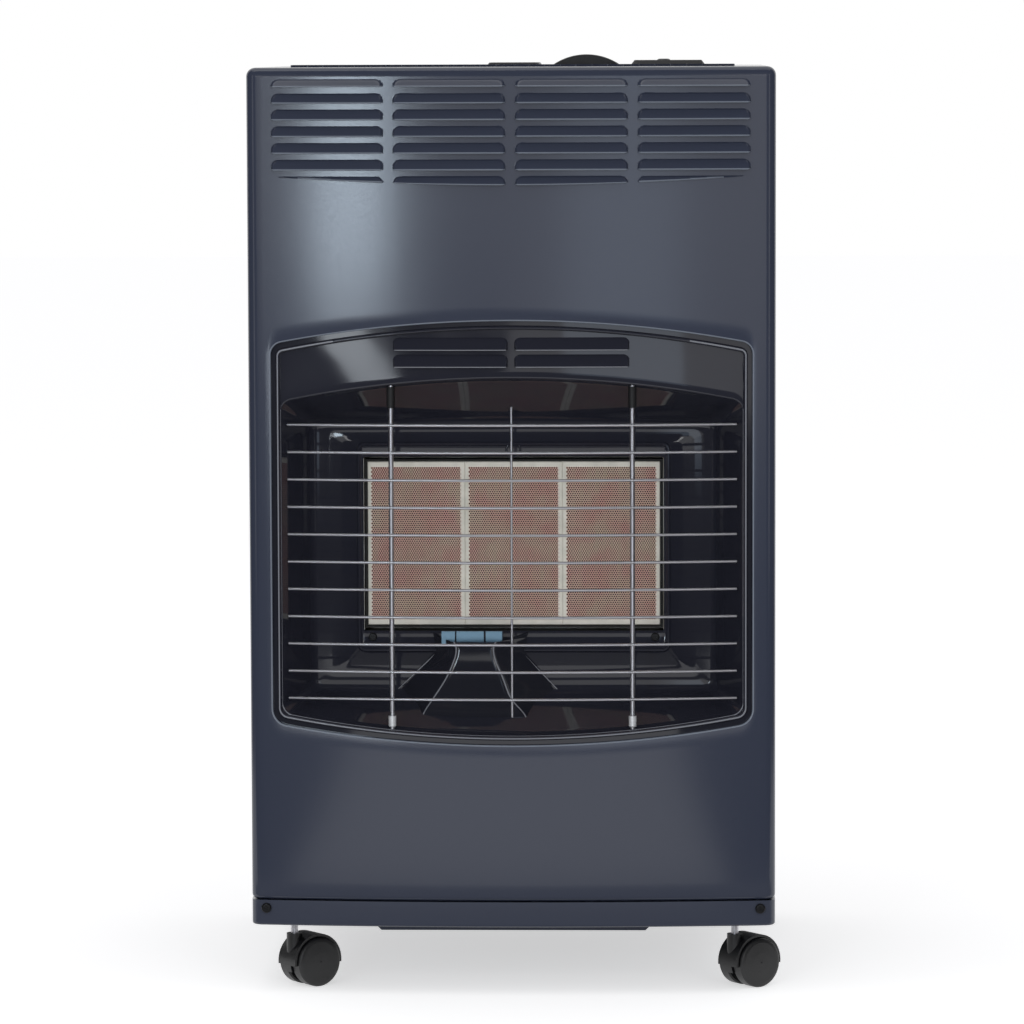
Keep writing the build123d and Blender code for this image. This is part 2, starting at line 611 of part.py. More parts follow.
with BuildPart() as bead:
    bead_outer = panel_opening(-BEAD_GAP)
    bead_inner = panel_opening(-BEAD_GAP - BEAD_WIDTH)
    add(front_skin(0.6, REFLECTOR_INSET + SHEET / 2))
    add(front_prism(bead_outer, PANEL_FRONT_Y - 10, FLANGE_Y - 20), mode=Mode.INTERSECT)
    add(front_prism(bead_inner, PANEL_FRONT_Y - 10, FLANGE_Y - 20), mode=Mode.SUBTRACT)
with BuildPart() as dish_wall:
    add(dish_loft(SHEET, DISH_TURN_Y - 9, WALL_Y + SHEET))
    add(dish_loft(0, DISH_TURN_Y - 10, WALL_Y), mode=Mode.SUBTRACT)
    add(front_slab(REFLECTOR_INSET + 0.3, PANEL_BOTTOM + 60, WALL_Y + 30), mode=Mode.INTERSECT)
with BuildPart() as reflector:
    add(flange_sheet.part)
    add(bead.part)
    add(front_prism(dish_mouth(SHEET / 2), PANEL_FRONT_Y - 10, FLANGE_Y - 20), mode=Mode.SUBTRACT)
    add(dish_wall.part)
    rows = (brow_radius, brow_centres, brow_bottoms, BROW_LOUVRE_WIDTH, BROW_LOUVRE_DEPTH)
    add(louvres(*rows, 0))
    add(louvres(*rows, SHEET), mode=Mode.SUBTRACT)
    # window for the plaques with its pressed frame
    with BuildSketch(Plane.XZ.offset(-WALL_Y - 0.2)):
        with Locations((0, emboss_mid)):
            RectangleRounded(2 * emboss_half, emboss_high - emboss_low, 6)
            RectangleRounded(
                2 * (emboss_half - EMBOSS_WIDTH), emboss_high - emboss_low - 2 * EMBOSS_WIDTH, 4,
                mode=Mode.SUBTRACT,
            )
    extrude(amount=EMBOSS_RISE + 0.2)
    with BuildSketch(Plane.XZ.offset(-WALL_Y - 4)):
        with Locations((0, (WINDOW_LOW + WINDOW_HIGH) / 2)):
            Rectangle(2 * WINDOW_HALF, WINDOW_HIGH - WINDOW_LOW)
        with Locations((-BURNER_SCREW_X, BURNER_SCREW_Z), (BURNER_SCREW_X, BURNER_SCREW_Z)):
            Circle(SCREW_R + FIT)
    extrude(amount=8, mode=Mode.SUBTRACT)
    # holes for the guard rods and for the pilot parts under their shroud
    with BuildSketch(Plane.XY.offset(DISH_LOW - 10)):
        with Locations((-ROD_X, ROD_Y), (ROD_X, ROD_Y)):
            Circle(GUARD_ROD_R + HOLE_GAP)
        with Locations(*[(x, PILOT_Y) for x in PILOT_X]):
            Circle(PILOT_HOLE_R)
    extrude(amount=DISH_LOW_TAPER + 12, mode=Mode.SUBTRACT)
    with BuildSketch(Plane.XY.offset(DISH_HIGH - OPENING_RISE - 2)):
        with Locations((-ROD_X, ROD_Y), (ROD_X, ROD_Y)):
            Circle(GUARD_ROD_R + HOLE_GAP)
    extrude(amount=30, mode=Mode.SUBTRACT)
save(reflector.part, "reflector")

burner_places = [(x, WALL_Y, BURNER_SCREW_Z) for x in (-BURNER_SCREW_X, BURNER_SCREW_X)]
save(pan_head_screws(burner_places, 3.4, 1.8, 7, 3.2), "reflector_screws")

# ---------------------------------------------------------------- wire guard
guard_half = DISH_HALF - GUARD_END_GAP
guard_apex_y = PANEL_FRONT_Y + 3
guard_low = DISH_LOW + GUARD_RISE
guard_high = guard_low + GUARD_PITCH * (GUARD_WIRES - 1)


def guard_wire(z):
    """One bowed wire across the opening, its ends left free."""
    end_y = guard_apex_y + GUARD_SAG
    with BuildPart() as wire:
        with BuildLine() as route:
            ThreePointArc((-guard_half, end_y, z), (0, guard_apex_y, z), (guard_half, end_y, z))
        with BuildSketch(Plane(origin=route.line @ 0, z_dir=route.line % 0)):
            Circle(GUARD_WIRE_R)
        sweep()
    return wire.part


with BuildPart() as guard_wires:
    for row in range(GUARD_WIRES):
        add(guard_wire(guard_low + GUARD_PITCH * row))
save(Compound(children=list(guard_wires.part.solids())), "guard_wires")

rod_low = arch_floor(ROD_X) - 3
rod_high = arch_ceiling(ROD_X) + 2
with BuildPart() as guard_rods:
    with BuildSketch(Plane.XY.offset(rod_low)):
        with Locations((-ROD_X, ROD_Y), (ROD_X, ROD_Y)):
            Circle(GUARD_ROD_R)
    extrude(amount=rod_high - rod_low)
    with BuildSketch(Plane.XY.offset(guard_low - 14)):
        with Locations((0, guard_apex_y + GUARD_WIRE_R + GUARD_THIN_R - 0.02)):
            Circle(GUARD_THIN_R)
    extrude(amount=guard_high - guard_low + 28.6)
save(guard_rods.part, "guard_rods")

SLEEVE_R = 3.3
with BuildPart() as guard_sleeves:
    with BuildSketch(Plane.XY.offset(arch_ceiling(ROD_X) - 18)):
        with Locations((-ROD_X, ROD_Y), (ROD_X, ROD_Y)):
            Circle(SLEEVE_R)
            Circle(GUARD_ROD_R + FIT, mode=Mode.SUBTRACT)
    extrude(amount=16.8)
save(guard_sleeves.part, "guard_sleeves")

FOOT_R = 3.1
with BuildPart() as guard_feet:
    with BuildSketch(Plane.XY.offset(arch_floor(ROD_X) + 1.4)):
        with Locations((-ROD_X, ROD_Y), (ROD_X, ROD_Y)):
            Circle(FOOT_R)
            Circle(GUARD_ROD_R + FIT, mode=Mode.SUBTRACT)
    extrude(amount=9)
    rims = guard_feet.edges().filter_by(GeomType.CIRCLE).filter_by(lambda e: e.radius > FOOT_R - 0.1)
    chamfer(rims.group_by(Axis.Z)[0], 0.8)
save(guard_feet.part, "guard_feet")

# ---------------------------------------------------------------- pilot shroud
SHROUD_WALL = 0.9
SHROUD_TOP = WINDOW_LOW - 3.5
shroud_stations = (
    (DISH_LOW - 3.5, 58, 39),
    (WALL_LOW - 0.2, 36, 26),
    (SHROUD_TOP - 22, 28.5, 19),
    (SHROUD_TOP, 26, 15.5),
)


def shroud_solid(inset):
    with BuildPart() as solid:
        for z, half_x, half_y in shroud_stations:
            with BuildSketch(Plane.XY.offset(z)):
                with Locations((SHROUD_X, WALL_Y)):
                    Ellipse(half_x - inset, half_y - inset)
        loft()
    return solid.part


with BuildPart() as pilot_shroud:
    add(shroud_solid(0))
    add(shroud_solid(SHROUD_WALL), mode=Mode.SUBTRACT)
    # keep what stands in front of the back wall and its pressed frame, above the floor of the dish
    flange_top = emboss_low - 0.5
    flange_low = WALL_LOW + 1.8
    seat_y = WALL_Y - 0.9
    frame_y = WALL_Y - EMBOSS_RISE - HOLE_GAP
    with BuildSketch(Plane.YZ.offset(SHROUD_X - 80)):
        Polygon(
            (seat_y, flange_top), (frame_y, flange_top), (frame_y, SHROUD_TOP + 10),
            (PANEL_FRONT_Y - 7, SHROUD_TOP + 10), (PANEL_FRONT_Y - 7, DISH_LOW + 1.5),
            (DISH_TURN_Y, DISH_LOW + 1.5), (seat_y, WALL_LOW + 1),
            align=None,
        )
    extrude(amount=160, mode=Mode.INTERSECT)
    # flange against the back wall
    with BuildSketch(Plane.XZ.offset(-WALL_Y + 0.1)):
        Polygon(
            (SHROUD_X - 28, flange_top), (SHROUD_X + 36, flange_top), (SHROUD_X + 64, flange_low),
            (SHROUD_X - 56, flange_low), align=None,
        )
        with Locations((SHROUD_X, flange_top - 7)):
            Rectangle(50, 46, mode=Mode.SUBTRACT)
    extrude(amount=SHEET)
save(pilot_shroud.part, "pilot_shroud")

# ---------------------------------------------------------------- burner
with BuildPart() as burner_plaques:
    for x in BURNER_X:
        with Locations((x, PLAQUE_FRONT_Y + PLAQUE_THICK / 2, PLAQUE_MID)):
            Box(PLAQUE_WIDTH, PLAQUE_THICK, PLAQUE_HEIGHT)
save(burner_plaques.part, "burner_plaques")

FRAME_GAP = 0.5
FRAME_WALL = 1.3
frame_inner = (2 * (PLAQUE_HALF + FRAME_GAP), PLAQUE_HEIGHT + 2 * FRAME_GAP)
frame_outer = (frame_inner[0] + 2 * FRAME_WALL, frame_inner[1] + 2 * FRAME_WALL)
frame_ledge = (frame_outer[0] - 8, frame_outer[1] - 8)
frame_front_y = PLAQUE_FRONT_Y - 2
ledge_y = PLAQUE_FRONT_Y + PLAQUE_THICK + 0.1
gasket_y = ledge_y + 2
GASKET_THICK = 2.4
box_ledge_y = gasket_y + GASKET_THICK + 0.1


def burner_ring(outer, inner, front_y, thickness):
    """Rectangular ring round the middle of the plaques, from its front face to the back."""
    with BuildPart() as ring:
        with BuildSketch(Plane.XZ.offset(-front_y)):
            with Locations((0, PLAQUE_MID)):
                Rectangle(*outer)
                Rectangle(*inner, mode=Mode.SUBTRACT)
        extrude(amount=-thickness)
    return ring.part


with BuildPart() as plaque_frame:
    add(burner_ring(frame_outer, frame_inner, frame_front_y, ledge_y + 1.9 - frame_front_y))
    add(burner_ring(frame_outer, frame_ledge, ledge_y, 1.9))
save(plaque_frame.part, "plaque_frame")
save(burner_ring(frame_outer, frame_ledge, gasket_y, GASKET_THICK), "plaque_gasket")

BOX_GAP_X = 0.7
BOX_GAP_Z = 2.8
BOX_WALL = 1
box_inner = (frame_outer[0] + 2 * BOX_GAP_X, frame_outer[1] + 2 * BOX_GAP_Z)
box_outer = (box_inner[0] + 2 * BOX_WALL, box_inner[1] + 2 * BOX_WALL)
box_front_y = WALL_Y + SHEET + 0.2
box_back_y = box_front_y + BOX_DEPTH
box_low = PLAQUE_MID - box_outer[1] / 2
venturi_y = (box_ledge_y + box_back_y) / 2
with BuildPart() as burner_box:
    with BuildSketch(Plane.XZ.offset(-box_front_y)):
        with Locations((0, emboss_mid)):
            Rectangle(2 * emboss_half, emboss_high - emboss_low - 4)
        with Locations((0, PLAQUE_MID)):
            Rectangle(*box_inner, mode=Mode.SUBTRACT)
        with Locations((-BURNER_SCREW_X, BURNER_SCREW_Z), (BURNER_SCREW_X, BURNER_SCREW_Z)):
            Circle(SCREW_R + FIT, mode=Mode.SUBTRACT)
    extrude(amount=-BOX_WALL)
    add(burner_ring(box_outer, box_inner, box_front_y, BOX_DEPTH))
    with Locations((0, box_back_y - BOX_WALL / 2, PLAQUE_MID)):
        Box(box_outer[0], BOX_WALL, box_outer[1])
    # ledge behind the gasket and the two walls between the chambers
    add(burner_ring((box_outer[0] - 1, box_outer[1] - 1), frame_ledge, box_ledge_y, BOX_WALL))
    for x in (-PLAQUE_PITCH / 2, PLAQUE_PITCH / 2):
        with Locations((x, (box_ledge_y + box_back_y) / 2, PLAQUE_MID)):
            Box(BOX_WALL, box_back_y - box_ledge_y, box_outer[1] - 1)
    with BuildSketch(Plane.XY.offset(box_low - 1)):
        with Locations(*[(x, venturi_y) for x in BURNER_X]):
            Circle(VENTURI_R + FIT)
    extrude(amount=3, mode=Mode.SUBTRACT)
save(burner_box.part, "burner_box")

venturi_low = box_low - 60
with BuildPart() as burner_venturis:
    for x in BURNER_X:
        with BuildSketch(Plane(origin=(x, venturi_y, venturi_low), x_dir=(1, 0, 0), z_dir=(0, -1, 0))):
            Polygon(
                (VENTURI_R + 4.25, 0), (VENTURI_R + 1.25, 10), (VENTURI_R, 26), (VENTURI_R, 64),
                (VENTURI_R - 1, 64), (VENTURI_R - 1, 26), (VENTURI_R + 0.25, 10), (VENTURI_R + 3.25, 0),
                align=None,
            )
        revolve(axis=Axis((x, venturi_y, 0), (0, 0, 1)))
save(burner_venturis.part, "burner_venturis")

RAIL_PLATE = 1.2
INJECTOR_R = 5
PIPE_R = 3
PIPE_BORE_R = 2
injector_rail_z = venturi_low - 20
injector_rail_half = PLAQUE_PITCH + 20
partition_face_y = PARTITION_Y
with BuildPart() as injector_rail:
    rail_front_y = venturi_y - 11
    with Locations((0, (rail_front_y + partition_face_y) / 2, injector_rail_z + RAIL_PLATE / 2)):
        Box(2 * injector_rail_half, partition_face_y - rail_front_y, RAIL_PLATE)
    with Locations((0, partition_face_y - RAIL_PLATE / 2, injector_rail_z + 10)):
        Box(2 * injector_rail_half, RAIL_PLATE, 20)
    with BuildSketch(Plane.XY.offset(injector_rail_z - 1)):
        with Locations(*[(x, venturi_y) for x in BURNER_X]):
            Circle(INJECTOR_R + FIT)
    extrude(amount=4, mode=Mode.SUBTRACT)
save(injector_rail.part, "injector_rail")

injector_low = injector_rail_z - 8
with BuildPart() as injectors:
    for x in BURNER_X:
        with BuildSketch(Plane(origin=(x, venturi_y, injector_low), x_dir=(1, 0, 0), z_dir=(0, -1, 0))):
            Polygon(
                (PIPE_R + FIT, 0), (INJECTOR_R, 0), (INJECTOR_R, 9.6), (6.5, 9.6), (6.5, 15), (4, 15),
                (4, 22), (2.2, 25), (0.7, 25), (0.7, 22), (PIPE_R + FIT, 16),
                align=None,
            )
        revolve(axis=Axis((x, venturi_y, 0), (0, 0, 1)))
save(injectors.part, "injectors")


# ---------------------------------------------------------------- pipes and leads
def bent_tube(points, outer, bore, bend):
    """Round tube through the points, bends of one radius, hollow where a bore is given."""
    with BuildPart() as tube:
        with BuildLine() as route:
            FilletPolyline(*points, radius=bend)
        with BuildSketch(Plane(origin=route.line @ 0, z_dir=route.line % 0)):
            Circle(outer)
            if bore:
                Circle(bore, mode=Mode.SUBTRACT)
        sweep()
    return tube.part


VALVE_HEIGHT = 30
VALVE_WIDTH = 36
VALVE_LENGTH = 34
BRACKET_Z = BODY_TOP - 15
valve_top = BRACKET_Z - 2
valve_low = valve_top - VALVE_HEIGHT
valve_front_y = KNOB_Y - VALVE_LENGTH / 2
valve_back_y = KNOB_Y + VALVE_LENGTH / 2
PIPE_BEND = 9
NUT_HEIGHT = 6.8
drop_x = box_outer[0] / 2 + 18.5
pipe_end = injector_low + 5.5
pipe_low = injector_low - NUT_HEIGHT - PIPE_BEND - 2.2
pipe_runs = (
    ("gas_pipe_low", KNOB_X - 10, valve_low + 7, drop_x, pipe_low, BURNER_X[2]),
    ("gas_pipe_medium", KNOB_X, valve_low + 15, drop_x + 12, pipe_low - 10, BURNER_X[1]),
    ("gas_pipe_high", KNOB_X + 10, valve_low + 23, drop_x + 24, pipe_low - 20, BURNER_X[0]),
)
for name, start_x, high, down_x, low, end_x in pipe_runs:
    points = (
        (start_x, valve_front_y - 0.1, high), (start_x, venturi_y, high), (down_x, venturi_y, high),
        (down_x, venturi_y, low), (end_x, venturi_y, low), (end_x, venturi_y, pipe_end),
    )
    save(bent_tube(points, PIPE_R, PIPE_BORE_R, PIPE_BEND), name)

with BuildPart() as pipe_nuts:
    for _, start_x, high, _, _, end_x in pipe_runs:
        with BuildSketch(Plane.XZ.offset(-valve_front_y + 0.2)):
            with Locations((start_x, high)):
                RegularPolygon(PIPE_R + 0.95, 6)
                Circle(PIPE_R + FIT, mode=Mode.SUBTRACT)
        extrude(amount=NUT_HEIGHT)
        with BuildSketch(Plane.XY.offset(injector_low - NUT_HEIGHT - 0.2)):
            with Locations((end_x, venturi_y)):
                RegularPolygon(2 * PIPE_R, 6)
                Circle(PIPE_R + FIT, mode=Mode.SUBTRACT)
        extrude(amount=NUT_HEIGHT)
save(pipe_nuts.part, "pipe_nuts")

PILOT_SEAT = SHROUD_TOP - 34  # bracket that holds the pilot parts
lead_x = -box_outer[0] / 2 - 18.5
lead_y = PLAQUE_FRONT_Y + 5
lead_end = PILOT_SEAT - 4
valve_left = KNOB_X - VALVE_WIDTH / 2
pilot_route = (
    (valve_left - 0.1, KNOB_Y - 6, valve_low + 10), (valve_left - 14, KNOB_Y - 6, valve_low + 10),
    (valve_left - 14, lead_y, valve_low + 10), (lead_x, lead_y, valve_low + 10),
    (lead_x, lead_y, injector_rail_z + 9), (PILOT_X[0], lead_y, injector_rail_z + 9),
    (PILOT_X[0], PILOT_Y, injector_rail_z + 9), (PILOT_X[0], PILOT_Y, lead_end),
)
save(bent_tube(pilot_route, 2, 1.2, 6), "pilot_gas_tube")
thermocouple_route = (
    (valve_left - 0.1, KNOB_Y - 6, valve_low + 21), (valve_left - 22, KNOB_Y - 6, valve_low + 21),
    (valve_left - 22, lead_y, valve_low + 21), (lead_x - 14, lead_y, valve_low + 21),
    (lead_x - 14, lead_y, injector_rail_z - 5), (PILOT_X[2], lead_y, injector_rail_z - 5),
    (PILOT_X[2], PILOT_Y, injector_rail_z - 5), (PILOT_X[2], PILOT_Y, lead_end),
)
save(bent_tube(thermocouple_route, 1.4, 0, 6), "thermocouple_lead")
IGNITER_LENGTH = 40
igniter_low = BODY_TOP - 50.4
ignition_y = lead_y + 7
ignition_route = (
    (PIEZO_X, KNOB_Y, igniter_low - 0.1), (PIEZO_X, KNOB_Y, igniter_low - 12.6),
    (PIEZO_X, ignition_y, igniter_low - 12.6), (lead_x - 7, ignition_y, igniter_low - 12.6),
    (lead_x - 7, ignition_y, injector_rail_z + 2), (PILOT_X[1], ignition_y, injector_rail_z + 2),
    (PILOT_X[1], PILOT_Y, injector_rail_z + 2), (PILOT_X[1], PILOT_Y, lead_end),
)
save(bent_tube(ignition_route, 1.8, 0, 6), "ignition_lead")

# ---------------------------------------------------------------- pilot parts
SEAT_R = 2.5
with BuildPart() as pilot_bracket:
    with Locations((SHROUD_X, PILOT_Y, PILOT_SEAT + 0.6)):
        Box(2 * PILOT_STEP + 16, 9, 1.2)
    with Locations((SHROUD_X, PILOT_Y + 4.9, PILOT_SEAT + 5)):
        Box(2 * PILOT_STEP + 16, 1.2, 10)
    with BuildSketch(Plane.XY.offset(PILOT_SEAT - 1)):
        with Locations(*[(x, PILOT_Y) for x in PILOT_X]):
            Circle(SEAT_R + FIT)
    extrude(amount=4, mode=Mode.SUBTRACT)
save(pilot_bracket.part, "pilot_bracket")

# profiles from the bracket up: (radius, height above its seat)
burner_profile = (
    (2 + FIT, -8), (SEAT_R, -8), (SEAT_R, 1.6), (4, 1.6), (4, 25), (2.8, 28), (1.2, 28), (1.2, -1),
    (2 + FIT, -2.5),
)
electrode_profile = (
    (0, -3.6), (SEAT_R, -3.6), (SEAT_R, 1.6), (3.2, 1.6), (3.2, 19), (1.6, 21), (0.8, 21), (0.8, 30), (0, 30),
)
thermocouple_profile = (
    (0, -3.6), (SEAT_R, -3.6), (SEAT_R, 1.6), (3.6, 1.6), (3.6, 7), (2.1, 8), (2.1, 28), (1.2, 31), (0, 31),
)
pilot_pieces = (
    ("pilot_burner", PILOT_X[0], burner_profile),
    ("pilot_electrode", PILOT_X[1], electrode_profile),
    ("pilot_thermocouple", PILOT_X[2], thermocouple_profile),
)
for name, x, profile in pilot_pieces:
    with BuildPart() as piece:
        with BuildSketch(Plane(origin=(x, PILOT_Y, PILOT_SEAT), x_dir=(1, 0, 0), z_dir=(0, -1, 0))):
            Polygon(*profile, align=None)
        revolve(axis=Axis((x, PILOT_Y, 0), (0, 0, 1)))
    save(piece.part, name)

# ---------------------------------------------------------------- gas valve
PLUG_R = 8
PLUG_HEIGHT = 15.6
SPINDLE_LENGTH = 39
cavity_low = valve_low + 6
spindle_low = cavity_low + PUSH_TRAVEL + 2
spindle_top = spindle_low + SPINDLE_LENGTH
with BuildPart() as gas_valve_body:
    with Locations((KNOB_X, KNOB_Y, (valve_low + valve_top) / 2)):
        Box(VALVE_WIDTH, VALVE_LENGTH, VALVE_HEIGHT)
    chamfer(gas_valve_body.edges().filter_by(Axis.Z), 3)
    with BuildSketch(Plane.XY.offset(valve_top)):
        with Locations((KNOB_X, KNOB_Y)):
            Circle(PLUG_R + 2)
    extrude(amount=BRACKET_Z - valve_top - FIT)
    with BuildSketch(Plane.XY.offset(cavity_low)):
        with Locations((KNOB_X, KNOB_Y)):
            Circle(PLUG_R + FIT)
    extrude(amount=PLUG_HEIGHT + 0.4, mode=Mode.SUBTRACT)
    with BuildSketch(Plane.XY.offset(cavity_low)):
        with Locations((KNOB_X, KNOB_Y)):
            Circle(SPINDLE_R + FIT)
    extrude(amount=VALVE_HEIGHT, mode=Mode.SUBTRACT)
save(gas_valve_body.part, "gas_valve_body")

# plug that the spindle turns while sliding through it
with BuildPart() as valve_plug:
    with BuildSketch(Plane.XY.offset(cavity_low + 0.2)):
        with Locations((KNOB_X, KNOB_Y)):
            Circle(PLUG_R)
            Circle(SPINDLE_R + FIT, mode=Mode.SUBTRACT)
        with Locations((KNOB_X, KNOB_Y + SPINDLE_R - 0.35)):
            Rectangle(5, 1.1)
    extrude(amount=PLUG_HEIGHT)
save(valve_plug.part, "valve_plug")

with BuildPart() as valve_spindle:
    with BuildSketch(Plane.XY.offset(spindle_low)):
        with Locations((KNOB_X, KNOB_Y)):
            Circle(SPINDLE_R)
        with Locations((KNOB_X, KNOB_Y + SPINDLE_R + 0.05)):
            Rectangle(2 * SPINDLE_R, 2, mode=Mode.SUBTRACT)
    extrude(amount=SPINDLE_LENGTH)
save(valve_spindle.part, "valve_spindle")

BRACKET_PLATE = 1.2
BRACKET_WIDTH = 134
IGNITER_R = 9
bracket_x = KNOB_X + 25
ear_top = BODY_TOP - SHEET - HOLE_GAP
cutout_half = BEZEL_LENGTH / 2 - CUTOUT_MARGIN
with BuildPart() as valve_bracket:
    with Locations((bracket_x, KNOB_Y, BRACKET_Z + BRACKET_PLATE / 2)):
        Box(BRACKET_WIDTH, 2 * (cutout_half + 5), BRACKET_PLATE)
    for side in (-1, 1):
        with Locations((bracket_x, KNOB_Y + side * (cutout_half + 4.4), (BRACKET_Z + ear_top) / 2)):
            Box(BRACKET_WIDTH, BRACKET_PLATE, ear_top - BRACKET_Z)
        with Locations((bracket_x, KNOB_Y + side * (cutout_half + 8.4), ear_top - BRACKET_PLATE / 2)):
            Box(BRACKET_WIDTH, 9.2, BRACKET_PLATE)
    with BuildSketch(Plane.XY.offset(BRACKET_Z - 1)):
        with Locations((KNOB_X, KNOB_Y)):
            Circle(SPINDLE_R + 0.4)
        with Locations((PIEZO_X, KNOB_Y)):
            Circle(IGNITER_R + FIT)
    extrude(amount=4, mode=Mode.SUBTRACT)
save(valve_bracket.part, "valve_bracket")

NOZZLE_R = 4.4
NOZZLE_BORE_R = 2.2
NOZZLE_REACH = 36
nozzle_z = valve_low + 12
with BuildPart() as hose_nozzle:
    with BuildSketch(Plane.XZ.offset(-valve_back_y - 0.1)):
        with Locations((KNOB_X, nozzle_z)):
            RegularPolygon(9, 6)
    extrude(amount=-8)
    with BuildSketch(Plane(origin=(KNOB_X, valve_back_y, nozzle_z), x_dir=(1, 0, 0), z_dir=(0, 0, 1))):
        Polygon(
            (0, 7), (6, 7), (6, 12), (NOZZLE_R, 12), (NOZZLE_R, NOZZLE_REACH - 2),
            (NOZZLE_R - 1, NOZZLE_REACH), (0, NOZZLE_REACH), align=None,
        )
    revolve(axis=Axis((KNOB_X, 0, nozzle_z), (0, 1, 0)))
    with BuildSketch(Plane.XZ.offset(1 - valve_back_y)):
        with Locations((KNOB_X, nozzle_z)):
            Circle(NOZZLE_BORE_R)
    extrude(amount=-NOZZLE_REACH - 4, mode=Mode.SUBTRACT)
save(hose_nozzle.part, "hose_nozzle")

# ---------------------------------------------------------------- control bezel, knob and igniter
DISH_WALL = 1.5
KNOB_SKIRT = 4
WING_RISE_LEFT = 2.6
WING_RISE_RIGHT = 4.2
KNOB_GAP = 0.8
knob_dish_r = KNOB_R + KNOB_GAP
dish_floor = BODY_TOP - 7.6
skirt_low = dish_floor + PUSH_TRAVEL + 1
bezel_right = BEZEL_LEFT + BEZEL_WIDTH
wings = (
    (BEZEL_LEFT + 0.6, KNOB_X - knob_dish_r - 5.4, WING_RISE_LEFT),
    (KNOB_X + knob_dish_r + 5, bezel_right - 2, WING_RISE_RIGHT),
)
with BuildPart() as control_bezel:
    # plate over the cut-out, with a raised wing each side of the knob
    with BuildSketch(Plane.XY.offset(BODY_TOP + FIT)):
        with Locations((BEZEL_X, KNOB_Y)):
            RectangleRounded(BEZEL_WIDTH, BEZEL_LENGTH, 9)
    extrude(amount=1.2)
    for left, right, rise in wings:
        with BuildSketch(Plane.XY.offset(BODY_TOP + 0.6)):
            with Locations(((left + right) / 2, KNOB_Y)):
                RectangleRounded(right - left, BEZEL_LENGTH - 4, 6)
        extrude(amount=rise, taper=38)
    # hollow the wings from below, then sink the dish for the knob
    for left, right, rise in wings:
        with BuildSketch(Plane.XY.offset(BODY_TOP)):
            with Locations(((left + right) / 2, KNOB_Y)):
                RectangleRounded(right - left - 9, BEZEL_LENGTH - 14, 4)
        extrude(amount=rise - 1, mode=Mode.SUBTRACT)
    with BuildSketch(Plane.XY.offset(dish_floor - 1.4)):
        with Locations((KNOB_X, KNOB_Y)):
            Circle(knob_dish_r + DISH_WALL)
    extrude(amount=BODY_TOP + 1.25 - dish_floor + 1.4)
    with BuildSketch(Plane.XY.offset(dish_floor)):
        with Locations((KNOB_X, KNOB_Y)):
            Circle(knob_dish_r)
    extrude(amount=20, mode=Mode.SUBTRACT)
    with BuildSketch(Plane.XY.offset(dish_floor - 5)):
        with Locations((KNOB_X, KNOB_Y)):
            Circle(SPINDLE_R + 0.4)
        with Locations((PIEZO_X, KNOB_Y)):
            Circle(BUTTON_R + HOLE_GAP)
    extrude(amount=20, mode=Mode.SUBTRACT)
save(control_bezel.part, "control_bezel")

FIN_WIDTH = 14
fin_top = BODY_TOP + 9.6
fin_foot = skirt_low + 2.6
fin_half = KNOB_R - 1.2
# grip: a fin across the knob with an arched top
with BuildPart() as knob_fin:
    with BuildSketch(Plane.XZ.offset(-KNOB_Y - FIN_WIDTH / 2)):
        with BuildLine():
            Line((KNOB_X - fin_half, fin_foot), (KNOB_X + fin_half, fin_foot))
            ThreePointArc((KNOB_X + fin_half, fin_foot), (KNOB_X, fin_top), (KNOB_X - fin_half, fin_foot))
        make_face()
    extrude(amount=FIN_WIDTH)
    fillet(knob_fin.edges().filter_by(lambda e: e.center().Z > fin_foot + 2), 1.6)
with BuildPart() as control_knob:
    with BuildSketch(Plane.XY.offset(skirt_low)):
        with Locations((KNOB_X, KNOB_Y)):
            Circle(KNOB_R)
    extrude(amount=KNOB_SKIRT)
    chamfer(control_knob.edges().group_by(Axis.Z)[-1], 0.8)
    add(knob_fin.part)
    # hub with the D-shaped bore for the spindle
    with BuildSketch(Plane.XY.offset(dish_floor + PUSH_TRAVEL + 0.4)):
        with Locations((KNOB_X, KNOB_Y)):
            Circle(2 * SPINDLE_R)
    extrude(amount=1.5)
    with BuildSketch(Plane.XY.offset(dish_floor)):
        with Locations((KNOB_X, KNOB_Y)):
            Circle(SPINDLE_R + FIT)
        with Locations((KNOB_X, KNOB_Y + SPINDLE_R + 2 * FIT)):
            Rectangle(2 * SPINDLE_R + 0.4, 2, mode=Mode.SUBTRACT)
    extrude(amount=spindle_top + 0.1 - dish_floor, mode=Mode.SUBTRACT)
save(control_knob.part, "control_knob")

BUTTON_STEM_R = 5
BUTTON_STEM = 19
button_seat = igniter_low + IGNITER_LENGTH + BUTTON_TRAVEL + 0.9
stem_low = button_seat - BUTTON_STEM + 0.5
with BuildPart() as piezo_igniter:
    with BuildSketch(Plane.XY.offset(igniter_low)):
        with Locations((PIEZO_X, KNOB_Y)):
            Circle(IGNITER_R)
    extrude(amount=IGNITER_LENGTH)
    with BuildSketch(Plane.XY.offset(BRACKET_Z + BRACKET_PLATE + HOLE_GAP)):
        with Locations((PIEZO_X, KNOB_Y)):
            Circle(IGNITER_R + 2)
    extrude(amount=2.4)
    with BuildSketch(Plane.XY.offset(stem_low - BUTTON_TRAVEL - 1)):
        with Locations((PIEZO_X, KNOB_Y)):
            Circle(BUTTON_STEM_R + FIT)
    extrude(amount=IGNITER_LENGTH, mode=Mode.SUBTRACT)
save(piezo_igniter.part, "piezo_igniter")

